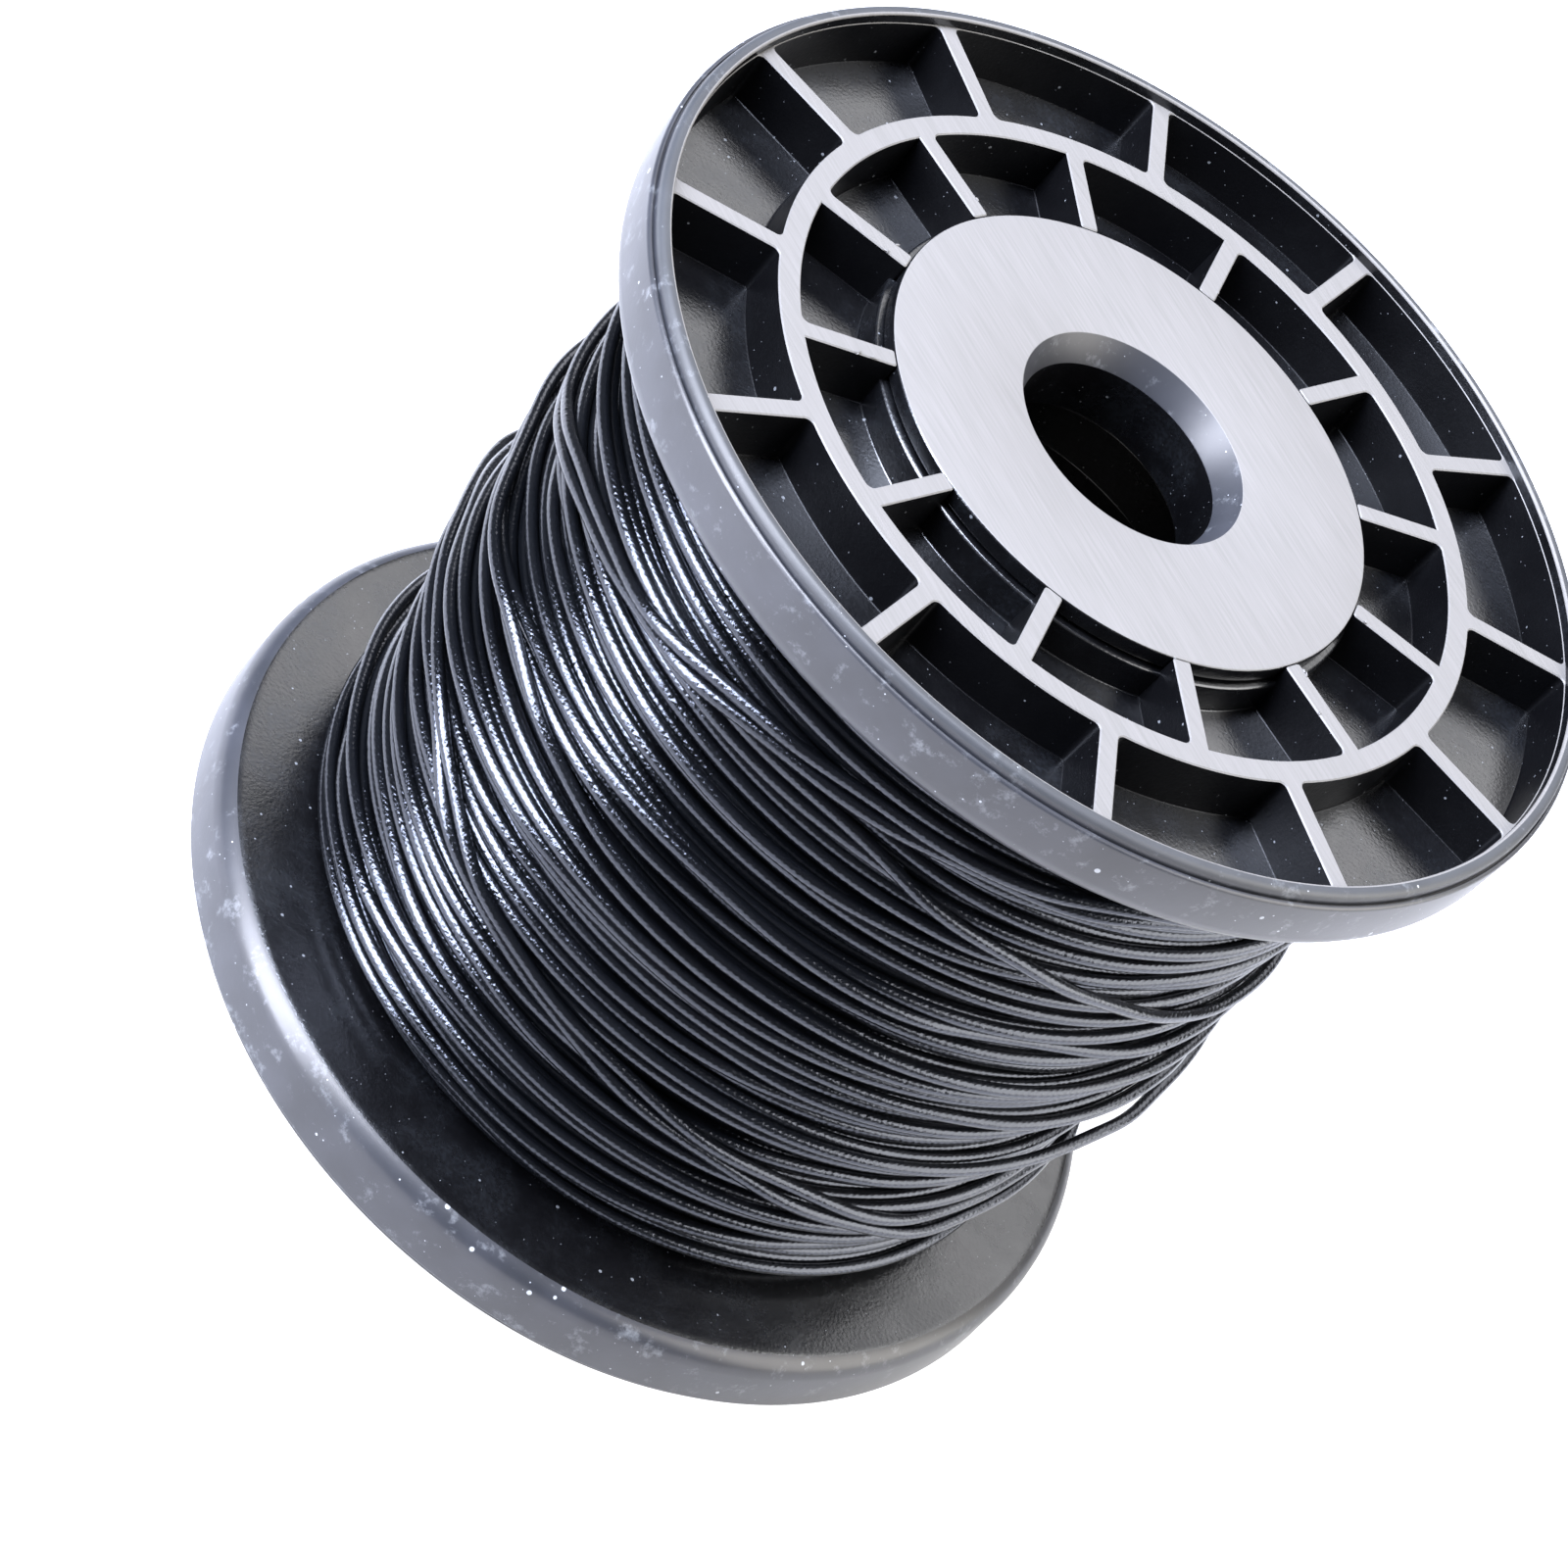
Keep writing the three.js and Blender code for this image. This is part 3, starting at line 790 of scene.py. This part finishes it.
# The last turns lie across the others: (azimuth in degrees, height), turn after turn.
CROSSING_TURNS = [
    (0, 82),
    (40, 81),
    (180, 71.5),
    (280, 69.5),
    (305, 66),
    (325, 61.5),
    (341, 58),
    (390, 56.8),
    (540, 51.5),
    (560, 50.8),
    (601, 53.5),
    (630, 55.3),
    (695, 52.8),
    (760, 52.3),
    (949, 52.5),
    (975, 49),
    (1060, 48.2),
    (1120, 47.2),
    (1270, 33.8),
    (1300, 32.8),
    (1440, 33.4),
    (1482, 33.6),
    (1530, 34.2),
    (1640, 36.8),
    (1665, 36),
    (1685, 32),
    (1703, 29),
    (1725, 26.5),
    (1750, 23.5),
    (1770, 21),
    (1830, 20.2),
    (1860, 21.5),
    (1985, 37.5),
    (2000, 38.5),
    (2025, 37.5),
    (2045, 33.5),
    (2063, 30.5),
    (2085, 28),
    (2110, 25),
    (2130, 22.5),
    (2190, 22),
    (2220, 23.5),
    (2350, 40),
    (2380, 41.5),
    (2520, 42),
    (2560, 43.5),
    (2700, 59.5),
    (2720, 60),
    (2739, 64.4),
    (2761, 68),
    (2781, 71.5),
    (2795, 73),
    (2820, 75),
    (2835, 77),
    (2885, 78),
    (2915, 77),
    (3055, 62.2),
    (3080, 61.5),
    (3099, 66),
    (3121, 69.5),
    (3141, 73),
    (3155, 74.5),
    (3180, 76.5),
    (3195, 78.5),
    (3240, 79.2),
    (3335, 79.2),
]
SLACK_AZIMUTH = 1482  # degrees along the crossing turns, where one stands off most
SLACK_SPREAD = 37.6  # degrees from there to where it stands off about a third as far
END_BEND_RADIUS = 2.6
END_BEND_STEPS = 9

BRIDGING_ROUNDS = 60  # how often the pull of the string is worked out anew
DRIFT_FADES = 12  # a loose layer's drift starts and ends over this part of its turns
CORE_STEPS = 96  # facets round the inner layers
RIDGE_HALF_WIDTH = 0.35  # of a turn on the inner layers, as a share of the turns' spacing
RIDGE_HEIGHT = 0.4
RIDGE_ROUND = 0.5


def lowest(winding):
    """Height of the string's middle where it lies against the back flange."""
    return FACE_BACK + mm(winding.string_diameter) / 2 + FACE_CLEARANCE


def highest(winding):
    """Height of the string's middle where it lies against the front flange."""
    return FACE_FRONT - mm(winding.string_diameter) / 2 - FACE_CLEARANCE


def package_radius(height):
    """Radius of the package's outside at a height."""
    heights, radii = zip(*PACKAGE)
    return np.interp(height, heights, radii)


def under_heights(winding):
    """Heights of the tight layer that the outer one lies on, from the back flange up."""
    places = winding.tight_turns * SAMPLES
    return np.linspace(lowest(winding), highest(winding), places, endpoint=False)


def loose_heights(count, start, end, drifts):
    """Heights of a loose layer, from one flange to the other, drifting into bundles and gaps."""
    share = np.arange(count * SAMPLES) / (count * SAMPLES)
    height = start + (end - start) * share
    azimuth = 2 * math.pi * np.arange(count * SAMPLES) / SAMPLES
    ease = np.clip(np.minimum(share, 1 - share) * DRIFT_FADES, 0, 1)
    drift = sum(
        size * np.sin(2 * math.pi * height / wave + waves * azimuth + phase)
        for size, wave, waves, phase in drifts
    )
    return np.clip(height + drift * ease, min(start, end), max(start, end))


def crossing_heights():
    """Heights of the last turns, eased between the places that they are led through."""
    angles, heights = zip(*CROSSING_TURNS)
    at = np.arange(angles[0], angles[-1], 360 / SAMPLES)
    return smoothed(np.interp(at, angles, heights), times=3)


def smoothed(values, times):
    """A line of values with its kinks eased, a little more each time."""
    for _ in range(times):
        inner = (values[:-2] + 2 * values[1:-1] + values[2:]) / 4
        values = np.concatenate([values[:1], inner, values[-1:]])
    return values


def laid_radii(heights, base, thickness):
    """Lays the string turn by turn: each place rests on the base or on the turns under it, and
    the pull of the string bridges the hollows between them."""
    turns = math.ceil(len(heights) / SAMPLES)
    padded = np.concatenate([heights, np.full(turns * SAMPLES - len(heights), np.nan)])
    z = padded.reshape(turns, SAMPLES)
    r = np.zeros_like(z)
    chord = math.cos(2 * math.pi / SAMPLES)
    for i in range(turns):
        rest = base(np.nan_to_num(z[i], nan=-100.0))
        if i:
            apart = np.abs(z[:i] - z[i])
            over = np.sqrt(np.clip(thickness**2 - apart**2, 0, None))
            on_turn = np.where(apart < thickness, r[:i] + over, 0)
            rest = np.maximum(rest, np.nan_to_num(on_turn, nan=0.0).max(axis=0))
        lie = rest.copy()
        for _ in range(BRIDGING_ROUNDS):
            bridged = chord * (np.roll(lie, 1) + np.roll(lie, -1)) / 2
            lie = np.maximum(rest, bridged)
        r[i] = lie
    return smoothed(r.reshape(-1)[: len(heights)], times=2)


def base_radius(height, thickness):
    """Radius at which the middle of the first seen layer lies."""
    return package_radius(height) - LAYERS_OVER_BASE + thickness / 2


def refined(values):
    """The same line with more points, its small kinks rounded."""
    coarse = np.arange(len(values))
    fine = np.arange((len(values) - 1) * FINE + 1) / FINE
    return smoothed(np.interp(fine, coarse, values), times=3)


def string_points(azimuths, radii, heights):
    """Points in metres, of azimuths in radians and of radii and heights in millimetres."""
    return np.stack([radii * np.cos(azimuths), radii * np.sin(azimuths), heights], axis=1) * MM


def string_stretch(name, points, first_twist, material, winding):
    """One stretch of the string: a smooth tube whose map counts the twists along it."""
    curve = bpy.data.curves.new(name, "CURVE")
    curve.dimensions = "3D"
    curve.twist_mode = "Z_UP"
    curve.bevel_depth = winding.string_diameter / 2
    curve.bevel_resolution = (TUBE_FACETS - 4) // 2
    curve.use_fill_caps = True
    spline = curve.splines.new("POLY")
    spline.points.add(len(points) - 1)
    spline.points.foreach_set("co", np.concatenate([points, np.ones((len(points), 1))], axis=1).ravel())
    holder = bpy.data.objects.new(name, curve)
    bpy.context.scene.collection.objects.link(holder)
    bpy.context.view_layer.update()
    mesh = bpy.data.meshes.new_from_object(holder)
    bpy.data.objects.remove(holder)
    bpy.data.curves.remove(curve)
    mesh.materials.clear()
    unroll(mesh, first_twist, run_length(points)[-1] / winding.twist_length)
    piece = show_mesh(name, mesh, [material], WHOLLY_SMOOTH)
    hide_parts("string_winding")
    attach(piece, "root")


def unroll(mesh, first_twist, twists):
    """Stretches the tube's own map so that x counts twists from the string's start."""
    layer = mesh.uv_layers[0]
    layer.name = STRING_MAP
    places = np.empty(len(mesh.loops) * 2, dtype=np.float32)
    layer.uv.foreach_get("vector", places)
    places[0::2] = first_twist + places[0::2] * twists
    layer.uv.foreach_set("vector", places)


def run_length(points):
    """Length along the string at each of its points."""
    steps = np.linalg.norm(np.diff(points, axis=0), axis=1)
    return np.concatenate([[0], np.cumsum(steps)])


def with_end_bend(points):
    """Bends the string's outer end up and runs it square to the front flange's face."""
    last = points[-1]
    along = (last - points[-2]) * (1, 1, 0)
    along = along / np.linalg.norm(along)
    up = np.array((0, 0, 1))
    turn = np.radians(np.linspace(90 / END_BEND_STEPS, 90, END_BEND_STEPS))[:, None]
    bend = last + END_BEND_RADIUS * MM * (np.sin(turn) * along + (1 - np.cos(turn)) * up)
    top = bend[-1].copy()
    top[2] = (FACE_FRONT - SEAT_GAP) * MM
    return np.concatenate([points, bend, [top]])


def wind_string(winding, finish):
    """Lays the seen layers of the string and shows them in stretches."""
    material = twisted_polyester(winding, finish)
    thickness = mm(winding.string_diameter)
    low, high = lowest(winding), highest(winding)
    under = under_heights(winding)
    down = loose_heights(winding.loose_turns, high, low, DOWN_DRIFT)
    up = loose_heights(winding.loose_turns, low, high, UP_DRIFT)
    crossing = crossing_heights()
    heights = np.concatenate([under, down, up, crossing])
    radii = laid_radii(heights, partial(base_radius, thickness=thickness), thickness)
    azimuths = 2 * math.pi * np.arange(len(heights)) / SAMPLES
    first = len(heights) - len(crossing)
    degrees = CROSSING_TURNS[0][0] + 360 / SAMPLES * np.arange(len(crossing))
    slack = np.exp(-(((degrees - SLACK_AZIMUTH) / SLACK_SPREAD) ** 2))
    radii[first:] += mm(winding.slack_rise) * slack
    points = string_points(refined(azimuths), refined(radii), refined(heights))
    length = run_length(points)
    print(f"string laid: {length[-1]:.2f} m in {len(heights) / SAMPLES:.1f} turns")
    print(f"its middle is {radii.min():.2f} to {radii.max():.2f} mm from the axis")
    twist = length / winding.twist_length
    ends = np.cumsum([len(layer) * FINE for layer in (under, down, up)])
    show_stretch = partial(string_stretch, material=material, winding=winding)
    # the tight turns are smooth rings, and the points before they were refined are enough
    show_stretch("string_under_turns", points[: ends[0] + 1 : FINE], twist[0])
    show_stretch("string_loose_down_turns", points[ends[0] : ends[1] + 1], twist[ends[0]])
    show_stretch("string_loose_up_turns", points[ends[1] : ends[2] + 1], twist[ends[1]])
    show_stretch("string_crossing_turns", with_end_bend(points[ends[2] :]), twist[ends[2]])


def inner_layers(winding, finish):
    """The layers under the seen ones, as one ring with a round ridge for each turn."""
    ridges = []
    thickness = mm(winding.string_diameter)
    pitch = (highest(winding) - lowest(winding)) / (winding.tight_turns - 1)
    for i in range(winding.tight_turns):
        height = lowest(winding) + pitch * i
        radius = float(base_radius(height, thickness)) - thickness
        ridges += [
            (radius, height - pitch * RIDGE_HALF_WIDTH, 0),
            (radius + RIDGE_HEIGHT, height, RIDGE_ROUND),
            (radius, height + pitch * RIDGE_HALF_WIDTH, 0),
        ]
    inside = BARREL_RADIUS + SEAT_GAP
    low = FACE_BACK + SEAT_GAP
    high = FACE_FRONT - SEAT_GAP
    bm = turned([(inside, low, 0), *ridges, (inside, high, 0)], steps=CORE_STEPS)
    piece = show("string_inner_layers", bm, [twisted_polyester(winding, finish)])
    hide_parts("string_core")
    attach(piece, "root")


# ------------------------------------------------------------------ stage

# The camera as fitted to the photograph: its place, its axes, and its lens and film.
CAMERA_PLACE = (-1.75, -343.25, 325.5)
CAMERA_RIGHT = (0.73147, 0.44300, 0.51837)
CAMERA_DOWN = (0.68188, -0.47522, -0.55607)
CAMERA_FORWARD = (0.0, 0.76021, -0.64968)
CAMERA_LENS = 106.8
CAMERA_FILM = 36
CAMERA_NEAR = 10  # the nearest and the furthest that it sees
CAMERA_FAR = 50000
FLOOR_HALF_WIDTH = 4000
FLOOR_ROUGHNESS = 0.6

# Lamps by the name of their settings: angles in degrees, distances and sizes in metres.
SOFTBOXES = {
    "key": {"azimuth": -149, "elevation": 42, "roll": 18, "distance": 1.2, "size": (0.5, 3.0)},
    "back": {"azimuth": 84, "elevation": 41, "roll": 0, "distance": 1.5, "size": (1.9, 0.5)},
    "side": {"azimuth": 8, "elevation": 32, "roll": 0, "distance": 1.4, "size": (1.3, 1.5)},
}


def add_camera():
    """Looks at the reel from where the photograph was taken."""
    camera = bpy.data.cameras.new("camera")
    camera.lens = CAMERA_LENS
    camera.sensor_width = CAMERA_FILM
    camera.dof.use_dof = False
    camera.clip_start = CAMERA_NEAR * MM
    camera.clip_end = CAMERA_FAR * MM
    holder = bpy.data.objects.new("camera", camera)
    right, down, forward = Vector(CAMERA_RIGHT), Vector(CAMERA_DOWN), Vector(CAMERA_FORWARD)
    turn = Matrix((right, -down, -forward)).transposed()
    holder.matrix_world = Matrix.Translation(Vector(CAMERA_PLACE) * MM) @ turn.to_4x4()
    bpy.context.scene.collection.objects.link(holder)
    bpy.context.scene.camera = holder


def add_softbox(name, azimuth, elevation, roll, distance, size, radiance, colour):
    """A rectangular lamp that faces the reel, turned in its own plane by a roll."""
    lamp = bpy.data.lights.new(name, "AREA")
    lamp.shape = "RECTANGLE"
    lamp.size, lamp.size_y = size
    lamp.energy = radiance * size[0] * size[1] * math.pi
    lamp.color = colour[:3]
    holder = bpy.data.objects.new(name, lamp)
    a, e = math.radians(azimuth), math.radians(elevation)
    away = Vector((math.cos(a) * math.cos(e), math.sin(a) * math.cos(e), math.sin(e)))
    centre = Vector((0, 0, REEL_LENGTH / 2 * MM))
    holder.location = centre + away * distance
    facing = away.to_track_quat("Z", "Y")
    holder.rotation_euler = (facing @ Quaternion((0, 0, 1), math.radians(roll))).to_euler()
    bpy.context.scene.collection.objects.link(holder)


def add_floor(stage):
    """A pale sheet under the reel."""
    bm = bmesh.new()
    bmesh.ops.create_grid(bm, x_segments=4, y_segments=4, size=FLOOR_HALF_WIDTH)
    material, _, shader = new_material("pale_floor")
    shader.inputs["Base Color"].default_value = stage.floor_colour
    shader.inputs["Roughness"].default_value = FLOOR_ROUGHNESS
    shader.inputs["Emission Color"].default_value = (1, 1, 1, 1)
    shader.inputs["Emission Strength"].default_value = stage.floor_glow
    floor = show("floor", bm, [material])


def set_stage(stage):
    """The camera, the floor, the surroundings and three lamps."""
    scene = bpy.context.scene
    add_camera()
    add_floor(stage)
    world = bpy.data.worlds.new("studio")
    scene.world = world
    world.use_nodes = True
    tree = world.node_tree
    tree.nodes.clear()
    # the camera sees the surroundings as pale as the floor, but they light the reel less
    seen = add_node(tree, "ShaderNodeLightPath").outputs["Is Camera Ray"]
    strength = combined(tree, "MAXIMUM", seen, stage.sky_strength)
    sky = add_node(tree, "ShaderNodeBackground", inputs={"Color": stage.sky_colour, "Strength": strength})
    add_node(tree, "ShaderNodeOutputWorld", inputs={"Surface": sky.outputs["Background"]})
    for name, place in SOFTBOXES.items():
        radiance = getattr(stage, f"{name}_radiance")
        colour = getattr(stage, f"{name}_colour")
        add_softbox(f"{name}_softbox", radiance=radiance, colour=colour, **place)
    scene.view_settings.view_transform = "Standard"


# ------------------------------------------------------------------ settings


def length_property(name, description, default):
    """A length, given in millimetres and held in metres."""
    return bpy.props.FloatProperty(
        name=name, description=description, default=default * MM, min=0.0, precision=5, unit="LENGTH"
    )


def colour_property(name, description, default):
    """A colour, given as an sRGB hex value and held as linear red, green, blue and alpha."""
    return bpy.props.FloatVectorProperty(
        name=name,
        description=description,
        default=linear(default),
        size=4,
        min=0.0,
        max=1.0,
        subtype="COLOR",
    )


def strength_property(name, description, default):
    """The strength of a lamp or of what glows."""
    return bpy.props.FloatProperty(name=name, description=description, default=default, min=0.0)


class StringReelMoulding(bpy.types.PropertyGroup):
    """Sizes of the flanges and plugs."""

    rib_thickness: length_property("Rib", "Thickness of a rib at its top", 1.6)
    ring_thickness: length_property("Mid ring", "Thickness of the ring between the two rows of ribs", 2.0)
    rib_recess: length_property("Rib recess", "How deep the ribs lie under the lip", 1.1)
    edge_round: length_property("String-side edge", "Rounding of the flange's edge on the string side", 2.3)
    head_edge_round: length_property("Head edge", "Rounding of the ground head's edge", 0.22)


class StringReelWinding(bpy.types.PropertyGroup):
    """Sizes of the string and its turns."""

    string_diameter: length_property("String", "Thickness of the string", 1.3)
    twist_length: length_property("Twist", "Length of the string in one full twist", 7.2)
    tight_turns: bpy.props.IntProperty(
        name="Tight turns", description="Turns in the layer under the seen ones", default=55, min=2, max=56
    )
    loose_turns: bpy.props.IntProperty(
        name="Loose turns", description="Turns in each of the two loose layers", default=27, min=2, max=40
    )
    slack_rise: length_property("Slack turn", "How far the slack turn stands off the others", 9.0)


class StringReelFinish(bpy.types.PropertyGroup):
    """Colours of the reel and the string."""

    moulded_black: colour_property("Moulding", "Black of the ABS", "#040405")
    # the hazy grey is partly real hazing and partly a painted sheen
    moulded_haze_and_sheen: colour_property("Haze", "ABS where it is hazy", "#121417")
    dust: colour_property("Dust", "Dust in the pockets", "#5e6062")
    # the band's and the lip's greys are partly scuffs and rubs and partly a painted sheen and highlight
    band_dark_and_painted_sheen: colour_property("Band, dark", "Band under the scuffs", "#15171a")
    band_scuffs_and_painted_sheen: colour_property("Band, light", "Scuffs on the band", "#323338")
    band_gloss: colour_property("Band gloss", "Tint of the gloss on the band and the lip", "#fff9f0")
    pale_dust: colour_property("Pale dust", "Dust on the band and the lip", "#8e9092")
    lip_dark_and_painted_highlight: colour_property("Lip, dark", "Lip between the rubs", "#1f2124")
    lip_rubs_and_painted_highlight: colour_property("Lip, light", "Rubs on the lip", "#343639")
    # the ground greys are partly the ground finish and partly a painted highlight
    ground_scratches_and_painted_highlight: colour_property("Ground, dark", "Scratches on the ground faces", "#54524d")
    ground_face_and_painted_highlight: colour_property("Ground, light", "Ground faces", "#6c6865")
    string_black: colour_property("String", "Colour of the string", "#07080a")
    string_gloss: colour_property("String gloss", "Tint of the string's gloss", "#eef2ff")
    flatness: bpy.props.FloatProperty(
        name="Flatness",
        description="How flat the sides of the string look",
        default=0.25,
        min=0.0,
        max=1.0,
        subtype="FACTOR",
    )
    belt_angle: bpy.props.FloatProperty(
        name="Belt angle",
        description="Direction of the scratches on the ground faces",
        default=math.radians(-25.2),
        subtype="ANGLE",
    )


class StringReelStage(bpy.types.PropertyGroup):
    """Light and floor."""

    floor_colour: colour_property("Floor", "Colour of the floor", "#a0a0a4")
    floor_glow: strength_property("Floor glow", "Light that the floor gives of its own", 1.0)
    sky_colour: colour_property("Surroundings", "Colour of the surroundings", "#eef0f8")
    sky_strength: strength_property("Surroundings light", "Strength of the surroundings", 0.2)
    key_colour: colour_property("Key colour", "Colour of the key lamp", "#dfe8ff")
    key_radiance: strength_property("Key light", "Brightness of the key lamp's face", 44.0)
    back_colour: colour_property("Back colour", "Colour of the back lamp", "#fcfcff")
    back_radiance: strength_property("Back light", "Brightness of the back lamp's face", 3.5)
    side_colour: colour_property("Side colour", "Colour of the side lamp", "#ffffff")
    side_radiance: strength_property("Side light", "Brightness of the side lamp's face", 6.5)


# ------------------------------------------------------------------ operators


class STRINGREEL_OT_stage(bpy.types.Operator):
    """Set the floor, the light and the camera."""

    bl_idname = "string_reel.stage"
    bl_label = "Stage"

    def execute(self, context):
        set_stage(context.scene.string_reel_stage)
        return {"FINISHED"}


class STRINGREEL_OT_flanges(bpy.types.Operator):
    """Make the ribbed flange at each end."""

    bl_idname = "string_reel.flanges"
    bl_label = "Flanges"

    def execute(self, context):
        for end in ("front", "back"):
            make_flange(end, context.scene.string_reel_moulding, context.scene.string_reel_finish)
        return {"FINISHED"}


class STRINGREEL_OT_hubs(bpy.types.Operator):
    """Make the plug in each end."""

    bl_idname = "string_reel.hubs"
    bl_label = "Hubs"

    def execute(self, context):
        for end in ("front", "back"):
            hub_plug(end, context.scene.string_reel_moulding, context.scene.string_reel_finish)
        return {"FINISHED"}


class STRINGREEL_OT_barrel(bpy.types.Operator):
    """Finish the barrel that the string is wound on."""

    bl_idname = "string_reel.barrel"
    bl_label = "Barrel"

    def execute(self, context):
        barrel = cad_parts["barrel"]
        barrel.data.materials.clear()
        plain = moulded_abs("moulded_abs", context.scene.string_reel_finish, MOULDED_GLOSS)
        barrel.data.materials.append(plain)
        return {"FINISHED"}


class STRINGREEL_OT_string(bpy.types.Operator):
    """Wind the string."""

    bl_idname = "string_reel.string"
    bl_label = "String"

    def execute(self, context):
        inner_layers(context.scene.string_reel_winding, context.scene.string_reel_finish)
        wind_string(context.scene.string_reel_winding, context.scene.string_reel_finish)
        return {"FINISHED"}


class STRINGREEL_PT_panel(bpy.types.Panel):
    """Lists the operators and their settings."""

    bl_idname = "STRINGREEL_PT_panel"
    bl_label = "String reel"
    bl_space_type = "VIEW_3D"
    bl_region_type = "UI"
    bl_category = "String reel"

    def draw(self, context):
        for operator in OPERATORS:
            self.layout.operator(operator.bl_idname)
        for name, kind in GROUPS.items():
            for key in kind.__annotations__:
                self.layout.prop(getattr(context.scene, name), key)


OPERATORS = (
    STRINGREEL_OT_stage,
    STRINGREEL_OT_flanges,
    STRINGREEL_OT_hubs,
    STRINGREEL_OT_barrel,
    STRINGREEL_OT_string,
)
GROUPS = {
    "string_reel_moulding": StringReelMoulding,
    "string_reel_winding": StringReelWinding,
    "string_reel_finish": StringReelFinish,
    "string_reel_stage": StringReelStage,
}
CLASSES = (*GROUPS.values(), *OPERATORS, STRINGREEL_PT_panel)


def register():
    for item in CLASSES:
        bpy.utils.register_class(item)
    for name, kind in GROUPS.items():
        setattr(bpy.types.Scene, name, bpy.props.PointerProperty(type=kind))


def unregister():
    for name in GROUPS:
        delattr(bpy.types.Scene, name)
    for item in reversed(CLASSES):
        bpy.utils.unregister_class(item)


def main():
    register()
    bpy.ops.string_reel.stage()
    bpy.ops.string_reel.flanges()
    bpy.ops.string_reel.hubs()
    bpy.ops.string_reel.barrel()
    bpy.ops.string_reel.string()


if __name__ == "__main__":
    main()
